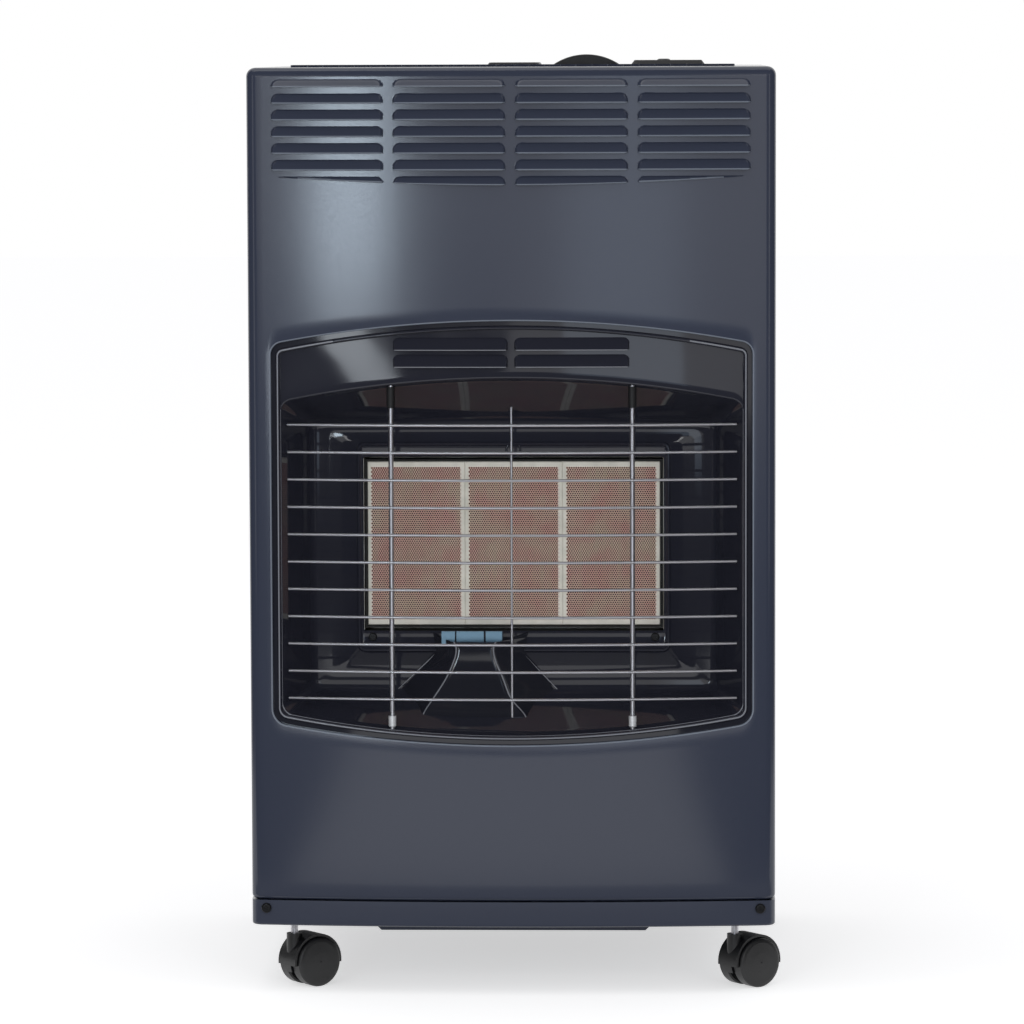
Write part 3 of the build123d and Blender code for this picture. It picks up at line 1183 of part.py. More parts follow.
with BuildPart() as piezo_button:
    with BuildSketch(Plane.XY.offset(stem_low)):
        with Locations((PIEZO_X, KNOB_Y)):
            Circle(BUTTON_STEM_R)
    extrude(amount=BUTTON_STEM)
    with BuildSketch(Plane.XY.offset(button_seat)):
        with Locations((PIEZO_X, KNOB_Y)):
            Circle(BUTTON_R)
    extrude(amount=BODY_TOP + WING_RISE_RIGHT + 1.7 - button_seat)
    fillet(piezo_button.edges().group_by(Axis.Z)[-1], BUTTON_R / 2)
save(piezo_button.part, "piezo_button")

# ---------------------------------------------------------------- casters
# Built about the stem with the trail along +X, then turned and moved into place.
CASTER_TURN = 38
casters = (
    ("front_left", -CASTER_X, CASTER_FRONT_Y, CASTER_TURN),
    ("front_right", CASTER_X, CASTER_FRONT_Y, CASTER_TURN),
    ("rear_left", -CASTER_X, CASTER_REAR_Y, 180 - CASTER_TURN),
    ("rear_right", CASTER_X, CASTER_REAR_Y, CASTER_TURN),
)
STEM_R = 3
STEM_TIP_R = 2.2
AXLE_R = 3
WEB_HALF = 3.6
HOOD_GAP = 0.7
HOOD_WALL = 2
HOOD_HALF = 12
hood_top = SKIRT_BOTTOM - 11.5
wheel_near = WEB_HALF + 0.7
wheel_far = wheel_near + WHEEL_WIDTH
stem_step = 2 * WHEEL_R + 1
with BuildPart() as caster_stems:
    for _, x, y, _ in casters:
        with BuildSketch(Plane(origin=(x, y, 0), x_dir=(1, 0, 0), z_dir=(0, -1, 0))):
            Polygon(
                (0, stem_step - 10), (STEM_TIP_R, stem_step - 10), (STEM_TIP_R, stem_step),
                (STEM_R, stem_step), (STEM_R, SKIRT_BOTTOM - 2.1), (9, SKIRT_BOTTOM - 2.1),
                (9, SKIRT_BOTTOM - FIT),
                (STEM_HEAD_R, SKIRT_BOTTOM - FIT), (STEM_HEAD_R, TRAY_FLOOR + FIT), (7, TRAY_FLOOR + FIT),
                (7, TRAY_FLOOR + 2.6), (5, TRAY_FLOOR + 3.6), (0, TRAY_FLOOR + 3.6),
                align=None,
            )
        revolve(axis=Axis((x, y, 0), (0, 0, 1)))
save(caster_stems.part, "caster_stems")

with BuildPart() as hood:
    # boss round the stem, web between the wheels, mudguard over them
    with BuildSketch(Plane.XY.offset(stem_step - 15)):
        Circle(STEM_R + 3.3)
    extrude(amount=hood_top - stem_step + 15)
    with BuildSketch(Plane.XZ.offset(-WEB_HALF)):
        with Locations((TRAIL, WHEEL_R)):
            Circle(WHEEL_R + 1.5)
        with Locations((TRAIL, -8)):
            Rectangle(3 * WHEEL_R, 40, mode=Mode.SUBTRACT)
    extrude(amount=2 * WEB_HALF)
    with BuildSketch(Plane.XZ.offset(-HOOD_HALF)):
        with Locations((TRAIL, WHEEL_R)):
            Circle(WHEEL_R + HOOD_GAP + HOOD_WALL)
            Circle(WHEEL_R + HOOD_GAP, mode=Mode.SUBTRACT)
        with Locations((TRAIL, -2)):
            Rectangle(3 * WHEEL_R, 40, mode=Mode.SUBTRACT)
    extrude(amount=2 * HOOD_HALF)
    for far_v in (WEB_HALF + 16, -WEB_HALF):
        with BuildSketch(Plane.XZ.offset(-far_v)):
            with Locations((TRAIL, WHEEL_R)):
                Circle(WHEEL_R + HOOD_GAP)
        extrude(amount=16, mode=Mode.SUBTRACT)
    with BuildSketch(Plane.XY.offset(stem_step - 12)):
        Circle(STEM_TIP_R + FIT)
    extrude(amount=30, mode=Mode.SUBTRACT)
    with BuildSketch(Plane.XY.offset(stem_step - 0.1)):
        Circle(STEM_R + FIT)
    extrude(amount=30, mode=Mode.SUBTRACT)
    with BuildSketch(Plane.XZ.offset(-20)):
        with Locations((TRAIL, WHEEL_R)):
            Circle(AXLE_R + FIT)
    extrude(amount=40, mode=Mode.SUBTRACT)

axle_half = wheel_far - 2.4
with BuildPart() as axle:
    with BuildSketch(Plane.XZ.offset(-axle_half)):
        with Locations((TRAIL, WHEEL_R)):
            Circle(AXLE_R)
    extrude(amount=2 * axle_half)

wheel_profile = (
    (AXLE_R + FIT, wheel_near), (6, wheel_near), (7, wheel_near + 0.9), (WHEEL_R - 2.5, wheel_near + 0.9),
    (WHEEL_R - 1.5, wheel_near), (WHEEL_R, wheel_near + 0.6), (WHEEL_R, wheel_far - 1.6),
    (WHEEL_R - 0.5, wheel_far - 0.7), (WHEEL_R - 1.5, wheel_far - 0.1), (WHEEL_R - 3.5, wheel_far + 0.3),
    (8, wheel_far + 0.8), (0, wheel_far + 1), (0, wheel_far - 2.2), (AXLE_R + FIT, wheel_far - 2.2),
)
with BuildPart() as wheel:
    with BuildSketch(Plane(origin=(TRAIL, 0, WHEEL_R), x_dir=(1, 0, 0), z_dir=(0, 0, 1))):
        Polygon(*wheel_profile, align=None)
    revolve(axis=Axis((TRAIL, 0, WHEEL_R), (0, 1, 0)))

for name, x, y, turn in casters:
    place = Location((x, y, 0), (0, 0, turn))
    save(hood.part.moved(place), f"caster_hood_{name}")
    save(axle.part.moved(place), f"caster_axle_{name}")
    for label, flip in (("a", Location((0, 0, 0))), ("b", Location((2 * TRAIL, 0, 0), (0, 0, 180)))):
        save(wheel.part.moved(place * flip), f"caster_wheel_{name}_{label}")
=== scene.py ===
from math import asin, cos, hypot, pi, radians, sin, sqrt

import bmesh
import bpy
from mathutils import Matrix, Quaternion, Vector


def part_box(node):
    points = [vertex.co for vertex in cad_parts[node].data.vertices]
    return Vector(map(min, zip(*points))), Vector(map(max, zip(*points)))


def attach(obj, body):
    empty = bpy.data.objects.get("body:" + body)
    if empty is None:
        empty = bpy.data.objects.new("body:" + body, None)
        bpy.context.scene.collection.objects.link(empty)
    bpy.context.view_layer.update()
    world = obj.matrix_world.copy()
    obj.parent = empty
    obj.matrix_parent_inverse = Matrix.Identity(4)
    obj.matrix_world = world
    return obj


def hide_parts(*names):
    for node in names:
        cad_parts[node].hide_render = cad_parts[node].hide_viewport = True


# Cabinet heater for bottled gas: painted steel cabinet, gloss black dish with ceramic plaques behind a
# wire guard, moulded controls and casters. Sizes are in millimetres and turned to metres by MM.

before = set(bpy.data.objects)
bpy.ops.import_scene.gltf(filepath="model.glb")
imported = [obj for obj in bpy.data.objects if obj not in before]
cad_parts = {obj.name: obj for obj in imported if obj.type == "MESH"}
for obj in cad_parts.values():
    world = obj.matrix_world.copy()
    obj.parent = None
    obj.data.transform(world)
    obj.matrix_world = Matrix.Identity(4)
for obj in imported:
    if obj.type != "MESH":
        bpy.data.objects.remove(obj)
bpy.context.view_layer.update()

# ---------------------------------------------------------------- front panel
# One sheet of 0.8 mm steel, bowed, folded round its edges and pressed with four columns of louvres; the
# edge of its large arched opening is turned in. Powder coated in satin anthracite: a slight orange peel
# under a broad soft highlight.
MM = 0.001
SHEET = 0.8
BOW_DEPTH = 12.5
CORNER_RADIUS = 9
TOP_RADIUS = 7
LOUVRE_DEPTH = 5
LOUVRE_WIDTH = 89.3
LOUVRE_STEP = 96.8
LOUVRE_HEIGHTS = [8.3, 8.3, 8.3, 8.3, 8.3, 7.7, 5.6]  # lowest row first; the top one meets the rounded edge
LOUVRE_PITCH = 13.2
LOUVRE_DROP = 94.2  # from the panel's top down to the foot of the lowest row
LOUVRE_CORNER = 6.5
HOOD_TOP = 0.5  # how far a louvre's upper edge is pressed out
HOOD_FLANK = 2.6  # slope of its ends
HOOD_SOFTNESS = 0.45  # rounding of the crease between its slope and its ends
ARC_FOOT = 1.5  # the lowest row is cut along an arc: how far its middle stands above the row's foot,
ARC_RISE = 6.5  # how much it rises towards the sides,
ARC_HALF = 185  # and how far from the middle it ends
CUT_HIGHLIGHT_WIDTH = 0.8  # width of the painted highlight along a cut edge,
CUT_PROUD = 1.2  # which runs where the edge is pressed out further than this
OPENING = {"half": 191.5, "low": 202.0, "sag": 17.2, "high": 540.4, "rise": 18.9, "r_low": 13, "r_high": 10}
FOLD_RADIUS = 4.0  # of the folded bottom edge
LIP_RADIUS = 1.2
LIP_DEPTH = 3.4
ORANGE_PEEL = 1.8  # width of one dimple of the powder coat
# where the mesh's lines cross a louvre: millimetres in from its ends, and shares of its height up
END_STEPS = (0, 0.4, 0.8, 1.2, 1.6, 2.0, 2.5, 3.1, 3.9, 4.8, 6.0, 8.0)
HOOD_STEPS = (0, 0.1, 0.22, 0.34, 0.45, 0.55, 0.64, 0.72, 0.79, 0.85, 0.9, 0.94, 0.97, 1.0, 1.05)

panel_low, panel_high = (corner * 1000 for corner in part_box("front_panel"))
half_width = panel_high.x
face_y = panel_low.y + LOUVRE_DEPTH
bow_radius = (half_width**2 + BOW_DEPTH**2) / (2 * BOW_DEPTH)
bow_axis_y = face_y + bow_radius
louvre_lowest = panel_high.z - LOUVRE_DROP
fold_top = panel_low.z + FOLD_RADIUS


def on_bow(x, z, out=0.0):
    """Point on the bowed face, moved out from it along the surface's normal."""
    lean = asin(x / bow_radius)
    return ((bow_radius + out) * sin(lean), bow_axis_y - (bow_radius + out) * cos(lean), z)


def grown(outline, by):
    """The same arched outline, larger all round."""
    signs = {"half": 1, "low": -1, "high": 1, "r_low": 1, "r_high": 1}
    return {key: value + by * signs.get(key, 0) for key, value in outline.items()}


def arch_corner(outline, upper):
    """Big arc and corner arc of the lower or upper edge, both measured as if the edge were the lower one."""
    sag, turn, edge = outline["sag"], outline["r_low"], outline["low"]
    if upper:
        sag, turn, edge = outline["rise"], outline["r_high"], -outline["high"]
    big = (outline["half"] ** 2 + sag**2) / (2 * sag)
    turn_x = outline["half"] - turn
    turn_z = edge + big - sqrt((big - turn) ** 2 - turn_x**2)
    return big, edge + big, turn, turn_x, turn_z


def arch_edge(outline, x, upper):
    """Height of the outline's lower or upper edge at x."""
    big, centre, turn, turn_x, turn_z = arch_corner(outline, upper)
    x = min(abs(x), outline["half"])
    if x <= big * turn_x / (big - turn):
        z = centre - sqrt(big**2 - x**2)
    else:
        z = turn_z - sqrt(max(turn**2 - (x - turn_x) ** 2, 0))
    return -z if upper else z


def corner_columns(outline, upper, steps=8):
    """Positions across that follow the rounded corner in even turns."""
    big, _, turn, turn_x, _ = arch_corner(outline, upper)
    start = asin(turn_x / (big - turn))
    return [turn_x + turn * sin(start + (pi / 2 - start) * k / steps) for k in range(steps + 1)]


def hood_rise(x, z, centre, bottom, width, height, depth, corner):
    """How far a pressed louvre stands out: a wedge deepest at its cut edge, steep at its ends."""
    from_end = width / 2 - abs(x - centre)
    from_top = bottom + height - z
    if from_end <= 0 or from_top <= 0 or z < bottom - 0.01:
        return 0.0
    inside = min(from_end, from_top)
    if from_end < corner and from_top < corner:
        inside = corner - hypot(corner - from_end, corner - from_top)
    if inside <= 0:
        return 0.0
    wedge = HOOD_TOP + (depth - HOOD_TOP) * from_top / height
    flank = HOOD_FLANK * inside
    rounding = HOOD_SOFTNESS * max(0.0, 1 - abs(wedge - flank) / (4 * HOOD_SOFTNESS)) ** 2
    return max(0.0, min(wedge, flank) - rounding)


def across_louvre(centre, width):
    """Positions across of a louvre's mesh lines, close together towards its steep ends."""
    low, high = centre - width / 2, centre + width / 2
    reach = END_STEPS[-1]
    middle = [low + reach + (width - 2 * reach) * k / 11 for k in range(1, 11)]
    return [low + d for d in END_STEPS] + middle + [high - d for d in reversed(END_STEPS)]


def spaced(low, high, count):
    """Values from low to high in even steps, both ends included."""
    return [low + (high - low) * k / count for k in range(count + 1)]


class SheetMesh:
    """Points in millimetres and faces of one mesh, gathered patch by patch."""

    def __init__(self):
        self.points = []
        self.faces = []
        self.kinds = []

    def patch(self, rows, closed=False, skip=(), kind=0):
        """Rows of as many points each, joined by faces; rows in skip aren't joined to the next one."""
        start = len(self.points)
        count = len(rows[0])
        for row in rows:
            self.points.extend(row)
        for r in range(len(rows) - 1):
            if r in skip:
                continue
            for c in range(count if closed else count - 1):
                a = start + r * count
                d = (c + 1) % count
                self.faces.append((a + c, a + d, a + count + d, a + count + c))
                self.kinds.append(kind)

    def cap(self, row, kind=0):
        """One flat face through a closed row of points."""
        start = len(self.points)
        self.points.extend(row)
        self.faces.append(tuple(range(start, start + len(row))))
        self.kinds.append(kind)

    def paint(self, kind, test, first=0):
        """Gives a finish to the faces, from a number on, whose middle passes a test."""
        for number in range(first, len(self.faces)):
            corners = [self.points[k] for k in self.faces[number]]
            if test(*(sum(values) / len(corners) for values in zip(*corners))):
                self.kinds[number] = kind


def make_piece(name, form, finishes, body, stands_for=(), thickness=0.0, sharp=35):
    """Piece from a gathered mesh: welded, smooth up to an angle, riding on a body, standing for CAD nodes."""
    mesh = bpy.data.meshes.new(name)
    mesh.from_pydata([(x * MM, y * MM, z * MM) for x, y, z in form.points], [], form.faces)
    mesh.polygons.foreach_set("material_index", form.kinds)
    for finish in finishes:
        mesh.materials.append(finish)
    weld = bmesh.new()
    weld.from_mesh(mesh)
    bmesh.ops.remove_doubles(weld, verts=weld.verts, dist=0.02 * MM)
    bmesh.ops.dissolve_degenerate(weld, edges=weld.edges, dist=0.01 * MM)
    for face in weld.faces:
        face.smooth = True
    for line in weld.edges:
        line.smooth = len(line.link_faces) == 2 and line.calc_face_angle() < radians(sharp)
    weld.to_mesh(mesh)
    weld.free()
    obj = bpy.data.objects.new(name, mesh)
    bpy.context.scene.collection.objects.link(obj)
    if thickness:
        shell = obj.modifiers.new("sheet thickness", "SOLIDIFY")
        shell.thickness = thickness * MM
        shell.offset = -1
    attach(obj, body)
    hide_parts(*stands_for)


def linear(hex_colour):
    """sRGB hex to the linear colour that a shader takes."""
    channels = [int(hex_colour[i : i + 2], 16) / 255 for i in (1, 3, 5)]
    return [c / 12.92 if c <= 0.04045 else ((c + 0.055) / 1.055) ** 2.4 for c in channels] + [1.0]


def add_node(tree, kind, links=None, values=None, **settings):
    """Adds a node with its own settings, the values of its sockets and what feeds them."""
    new = tree.nodes.new(kind)
    for key, value in settings.items():
        setattr(new, key, value)
    for socket, value in (values or {}).items():
        new.inputs[socket].default_value = value
    for socket, source in (links or {}).items():
        tree.links.new(source, new.inputs[socket])
    return new


def new_finish(name, colour, **sockets):
    """Material with one shader: its base colour and the values of its other sockets."""
    finish = bpy.data.materials.new(name)
    finish.use_nodes = True
    shader = finish.node_tree.nodes["Principled BSDF"]
    shader.inputs["Base Color"].default_value = linear(colour)
    for socket, value in sockets.items():
        shader.inputs[socket.replace("_", " ")].default_value = value
    return finish, finish.node_tree, shader


def add_relief(tree, shader, size, depth, detail=2.0, stretch=(1, 1, 1)):
    """Uneven surface: bumps of a size and a depth in millimetres, drawn out along an axis where stretched."""
    place = add_node(tree, "ShaderNodeTexCoord")
    scaled = add_node(tree, "ShaderNodeMapping", {"Vector": place.outputs["Object"]}, {"Scale": stretch})
    noise = add_node(
        tree, "ShaderNodeTexNoise", {"Vector": scaled.outputs["Vector"]},
        {"Scale": 1 / (size * MM), "Detail": detail, "Roughness": 0.5},
    )
    bump = add_node(tree, "ShaderNodeBump", {"Height": noise.outputs["Fac"]}, {"Distance": depth * MM})
    tree.links.new(bump.outputs["Normal"], shader.inputs["Normal"])
    return noise


def vary(tree, shader, socket, source, low, high):
    """Lets a pattern move a value such as roughness between two limits; most of a noise is 0.3 to 0.7."""
    span = add_node(
        tree, "ShaderNodeMapRange", {"Value": source},
        {"From Min": 0.3, "From Max": 0.7, "To Min": low, "To Max": high},
    )
    tree.links.new(span.outputs["Result"], shader.inputs[socket])


def blotches(tree, shader, size, first, second, seed=0.0):
    """Colour that drifts between two shades over patches of a size in millimetres."""
    place = add_node(tree, "ShaderNodeTexCoord")
    shift = add_node(
        tree, "ShaderNodeMapping", {"Vector": place.outputs["Object"]}, {"Location": (seed, seed, seed)}
    )
    noise = add_node(
        tree, "ShaderNodeTexNoise", {"Vector": shift.outputs["Vector"]},
        {"Scale": 1 / (size * MM), "Detail": 4.0},
    )
    ramp = add_node(tree, "ShaderNodeValToRGB", {"Fac": noise.outputs["Fac"]})
    ramp.color_ramp.elements[0].position = 0.35
    ramp.color_ramp.elements[0].color = linear(first)
    ramp.color_ramp.elements[1].position = 0.65
    ramp.color_ramp.elements[1].color = linear(second)
    tree.links.new(ramp.outputs["Color"], shader.inputs["Base Color"])


# Powder coat: satin, its pigment blue-grey, with the small dimples of a sprayed and baked coat.
powder_coat, tree, shader = new_finish("anthracite_powder_coat", "#373c4b", Roughness=0.15, IOR=1.5)
peel = add_relief(tree, shader, ORANGE_PEEL, 0.006, detail=3.0)
vary(tree, shader, "Roughness", peel.outputs["Fac"], 0.13, 0.17)

lip_outline = grown(OPENING, LIP_RADIUS)
lip_half = lip_outline["half"]
turn_x = half_width - CORNER_RADIUS
turn_y = bow_axis_y - sqrt((bow_radius - CORNER_RADIUS) ** 2 - turn_x**2)
turn_lean = asin(turn_x / (bow_radius - CORNER_RADIUS))

louvre_centres = [LOUVRE_STEP * k for k in (-1.5, -0.5, 0.5, 1.5)]
bow_end = bow_radius * sin(turn_lean)
across = {0.0, lip_half + 4, bow_end}
across |= set(corner_columns(lip_outline, False) + corner_columns(lip_outline, True))
for centre in louvre_centres:
    lines = across_louvre(abs(centre), LOUVRE_WIDTH)
    across |= {lines[0] - END_STEPS[1], *lines, lines[-1] + END_STEPS[1]}
steps_across = sorted(x for x in {round(x, 4) for x in across} if x <= bow_end + 0.001)
bow_columns = [-x for x in reversed(steps_across) if x > 0] + steps_across
bow_columns = [x for k, x in enumerate(bow_columns) if k == 0 or x - bow_columns[k - 1] > 0.05]

# Columns of the mesh, from the left back edge round the front to the right back edge.
columns = [("side", -1, panel_high.y - (panel_high.y - turn_y) * k / 4) for k in range(5)]
columns += [("corner", -1, (pi / 2 - turn_lean) * k / 7) for k in range(1, 7)]
columns += [("bow", 0, x) for x in bow_columns]
columns += [(kind, -side, where) for kind, side, where in reversed([c for c in columns if c[0] != "bow"])]


def plan_point(column, z, inset=0.0, out=0.0):
    """Where a column of the panel's mesh stands at a height, drawn in by inset or pressed out."""
    kind, side, where = column
    if kind == "side":
        return (side * (half_width - inset), where, z)
    if kind == "corner":
        r = CORNER_RADIUS - inset
        return (side * (turn_x + r * cos(where)), turn_y - r * sin(where), z)
    return on_bow(where, z, out - inset)


def column_x(column):
    """How far from the middle a column stands."""
    return plan_point(column, 0)[0]


def level_row(z, inset=0.0):
    """One row of the mesh all round the panel, at one height."""
    return [plan_point(c, z, inset) for c in columns]


def row_foot(row):
    """Height of the foot of a row of louvres."""
    return louvre_lowest + LOUVRE_PITCH * row


def cut_edge(x, row):
    """Height at which a row is cut: along its foot, or along the arc in the lowest row."""
    if row:
        return row_foot(row)
    return row_foot(row) + ARC_FOOT + ARC_RISE * min(1.0, abs(x) / ARC_HALF) ** 2


def louvre_out(x, z, row):
    """How far a point of a row is pressed out of the panel."""
    sizes = (row_foot(row), LOUVRE_WIDTH, LOUVRE_HEIGHTS[row], LOUVRE_DEPTH, LOUVRE_CORNER)
    return max(hood_rise(x, z, centre, *sizes) for centre in louvre_centres)


inner = [c for c in columns if c[0] == "bow" and abs(c[2]) <= lip_half + 0.01]
left = columns[: columns.index(inner[0]) + 1]
right = columns[columns.index(inner[-1]) :]
side_low = arch_edge(lip_outline, lip_half, False)
side_high = arch_edge(lip_outline, lip_half, True)
front_panel = SheetMesh()
# below the opening, with the bottom edge folded in
rows = [
    level_row(panel_low.z + FOLD_RADIUS * (1 - cos(turn)), FOLD_RADIUS * (1 - sin(turn)))
    for turn in spaced(0, pi / 2, 7)
]
for t in spaced(0, 1, 12)[1:]:
    rows.append([
        plan_point(c, fold_top + (arch_edge(lip_outline, column_x(c), False) - fold_top) * t) for c in columns
    ])
front_panel.patch(rows)
# beside the opening
for part in (left, right):
    front_panel.patch([[plan_point(c, z) for c in part] for z in spaced(side_low, side_high, 14)])
# above the opening, up to the lowest cut
rows = []
for t in spaced(0, 1, 10):
    rows.append([
        plan_point(c, arch_edge(lip_outline, column_x(c), True) * (1 - t) + cut_edge(column_x(c), 0) * t)
        for c in columns
    ])
front_panel.patch(rows)
# louvres: each row starts at its cut, where the sheet is open below the hood
rows = []
cuts = []
for row, height in enumerate(LOUVRE_HEIGHTS):
    cuts.append(len(rows))
    for k, t in enumerate((0,) + HOOD_STEPS):
        points = []
        for column in columns:
            x = column_x(column)
            low = cut_edge(x, row)
            z = low + (row_foot(row) + height - low) * t
            pressed = k > 0 and column[0] == "bow"
            points.append(plan_point(column, z, out=louvre_out(x, z, row) if pressed else 0.0))
        rows.append(points)
rows += [level_row(z) for z in spaced(rows[-1][0][2] + 1, panel_high.z - TOP_RADIUS, 2)]
rows += [
    level_row(panel_high.z - TOP_RADIUS * (1 - sin(turn)), TOP_RADIUS * (1 - cos(turn)))
    for turn in spaced(0, pi / 2, 7)[1:]
]
first_louvre_face = len(front_panel.faces)
front_panel.patch(rows, skip=cuts)


def on_cut_edge(x, y, z):
    """Whether a face is the lowest strip of a louvre, just above its cut, where the painted highlight goes.
    """
    row = min(int((z - louvre_lowest) / LOUVRE_PITCH), len(LOUVRE_HEIGHTS) - 1)
    low = cut_edge(x, row)
    return 0 < z - low < CUT_HIGHLIGHT_WIDTH and louvre_out(x, low + 0.1, row) > CUT_PROUD


# painted highlight along the louvres' cut edges, where they stand out
front_panel.paint(1, on_cut_edge, first_louvre_face)
# sheet under the top cover, then the turned-in edge of the opening
front_panel.cap(rows[-1])
bottom_x = [c[2] for c in inner]
edge = [(x, arch_edge(lip_outline, x, False)) for x in bottom_x]
edge += [(lip_half, z) for z in spaced(side_low, side_high, 14)[1:-1]]
edge += [(x, arch_edge(lip_outline, x, True)) for x in reversed(bottom_x)]
edge += [(-lip_half, z) for z in spaced(side_high, side_low, 14)[1:-1]]


def inward(loop):
    """Normals of a closed loop of (x, z) points that runs anticlockwise, pointing into it."""
    normals = []
    for k, (x, z) in enumerate(loop):
        dx = loop[(k + 1) % len(loop)][0] - loop[k - 1][0]
        dz = loop[(k + 1) % len(loop)][1] - loop[k - 1][1]
        size = hypot(dx, dz)
        normals.append((-dz / size, dx / size))
    return normals


# Painted highlight: a paler coat along cut and turned edges stands in for the light that these edges catch.
painted_highlight_coat, tree, shader = new_finish("powder_coat_painted_highlight", "#737a86", Roughness=0.3, IOR=1.5)
add_relief(tree, shader, 1.2, 0.01)

edge_normals = inward(edge)
lip = [(LIP_RADIUS * sin(turn), LIP_RADIUS * (1 - cos(turn))) for turn in spaced(0, pi / 2, 5)]
lip.append((LIP_RADIUS, LIP_DEPTH))
lip_rows = [
    [on_bow(x + nx * d, z + nz * d, -deep) for (x, z), (nx, nz) in zip(edge, edge_normals)] for d, deep in lip
]
# the rounded turn of the opening's edge takes the painted highlight
front_panel.patch(lip_rows[:5], closed=True, kind=1)
front_panel.patch(lip_rows[4:], closed=True)
make_piece(
    "front_panel_sheet", front_panel, [powder_coat, painted_highlight_coat], "cabinet", ["front_panel"],
    thickness=SHEET,
)


# ---------------------------------------------------------------- rest of the cabinet
# Folded sheets of the same steel and coat: two sides, the top with its slanted vents, the lift-off rear
# cover and the tray. The partition and rail inside are bare galvanised sheet, dull with faint spangle.
def dress(finish, *nodes):
    """Gives a finish to CAD nodes whose shape stays."""
    for name in nodes:
        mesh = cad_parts[name].data
        mesh.materials.clear()
        mesh.materials.append(finish)


dress(powder_coat, "side_panel_left", "side_panel_right", "top_cover", "rear_cover", "base_tray")

# Galvanised sheet: matt zinc with broad grains that catch the light unevenly.
SPANGLE = 8  # width of one grain
galvanised, tree, shader = new_finish("galvanised_sheet", "#9a9da1", Metallic=1.0, Roughness=0.45)
place = add_node(tree, "ShaderNodeTexCoord")
spangle = add_node(
    tree, "ShaderNodeTexVoronoi", {"Vector": place.outputs["Object"]}, {"Scale": 1 / (SPANGLE * MM)}
)
vary(tree, shader, "Roughness", spangle.outputs["Distance"], 0.38, 0.55)
dress(galvanised, "bay_partition", "rear_top_rail", "valve_bracket", "injector_rail", "pilot_bracket")

# Blackened steel screws: satin and dark.
black_steel, tree, shader = new_finish("blackened_steel", "#1c1c1e", Metallic=0.6, Roughness=0.35)
add_relief(tree, shader, 0.8, 0.02)
dress(black_steel, "skirt_screws", "reflector_screws")

# ---------------------------------------------------------------- dish
# A deep-drawn steel dish hooked behind the panel: rolled bead, brow with four louvres, walls tapering to
# a back plate whose window is framed by a pressed ridge. Gloss black vitreous enamel, fired on, so it
# mirrors the room softly over slight waves in the sheet.
DISH_INSET = 4
FLANGE_REACH = 6.0  # of the dish's edge, behind the panel
BEAD_GAP = 3.5
BEAD_WIDTH = 3.4
BEAD_HEIGHT = 3.4
MOUTH_EDGE = 1.3  # radius of the rounded edge into the dish
BROW_EDGE = 1.8  # its radius under the brow
BROW_EDGE_HALF = 178
MOUTH_DEPTH = 12  # where the edge ends and the walls begin, behind the panel's face
MOUTH = {"half": 184.0, "low": 209.5, "sag": 17.2, "high": 494.3, "rise": 18.9, "r_low": 10, "r_high": 9}
BACK = {"half": 161.5, "low": 240.2, "sag": 0.5, "high": 457.1, "rise": 0.5, "r_low": 8, "r_high": 8}
RIDGE = {"half": 126.85, "low": 269.7, "sag": 0.1, "high": 441.1, "rise": 0.1, "r_low": 7, "r_high": 7}
WINDOW = {"half": 121.0, "low": 287.5, "sag": 0.1, "high": 428.4, "rise": 0.1, "r_low": 2, "r_high": 2}
BEAD_HIGHLIGHT_TOP = MOUTH["high"] + 30  # above this the bead has no painted highlight,
EDGE_HIGHLIGHT_TOP = MOUTH["high"] - MOUTH["rise"] - 6  # and above this the mouth's edge has none
RIDGE_WIDTH = 4.4
RIDGE_HEIGHT = 1.7
RIDGE_FLANK = ((0, 0), (0.6, 0.5), (1.1, 1.25), (1.6, RIDGE_HEIGHT))  # in from its edge, and up
WALL_BEND = 3.5  # how far the bend between wall and back plate reaches
RING_Z = 434
RING_RADIUS = 5.6
RING_HALF = 0.9  # half the width of its pressed rim
BROW_HOOD = {"width": 91.5, "height": 9.6, "depth": 4, "corner": 5}
BROW_STEP = 96.6
BROW_PITCH = 13.5
BROW_FOOT = 10  # foot of the lower louvres above the mouth
BROW_SINK = 0.06  # the louvres' own sheet lies this far behind the brow's
BROW_LIP = ((0.9, 1.2), (0.8, 0.6), (0.5, 0.15), (0.0, 0.0))  # turned-in cut edge: how far down and back
ENAMEL_WAVE = 40  # length of the waves in the drawn sheet

enamel, tree, shader = new_finish("black_vitreous_enamel", "#262730", Roughness=0.05, IOR=1.5)
wave = add_relief(tree, shader, ENAMEL_WAVE, 0.08, detail=1.0)
vary(tree, shader, "Roughness", wave.outputs["Fac"], 0.04, 0.07)

# Painted highlight: a paler grey enamel along rounded edges and folds stands in for the light that they
# catch.
painted_highlight_enamel, tree, shader = new_finish("enamel_painted_highlight", "#7d7f86", Roughness=0.2, IOR=1.5)
add_relief(tree, shader, 1.5, 0.01)

dish_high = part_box("reflector")[1] * 1000
plate_y = dish_high.y - SHEET
mouth_back_y = face_y + MOUTH_DEPTH


def arched_loop(outline, wide=40, tall=16, turn=8):
    """The arched outline as a closed run of (x, z) points, anticlockwise from the middle of the bottom."""
    right = []
    for upper in (False, True):
        big, centre, radius, cx, cz = arch_corner(outline, upper)
        start = asin(cx / (big - radius))
        run = [(big * sin(start * k / wide), centre - big * cos(start * k / wide)) for k in range(wide)]
        for k in range(turn + 1):
            a = start + (pi / 2 - start) * k / turn
            run.append((cx + radius * sin(a), cz - radius * cos(a)))
        if upper:
            run = [(x, -z) for x, z in reversed(run)]
            low_end, high_end = right[-1][1], run[0][1]
            right += [(outline["half"], z) for z in spaced(low_end, high_end, tall)[1:-1]]
        right += run
    return right + [(-x, z) for x, z in reversed(right[1:-1])]


dish = SheetMesh()
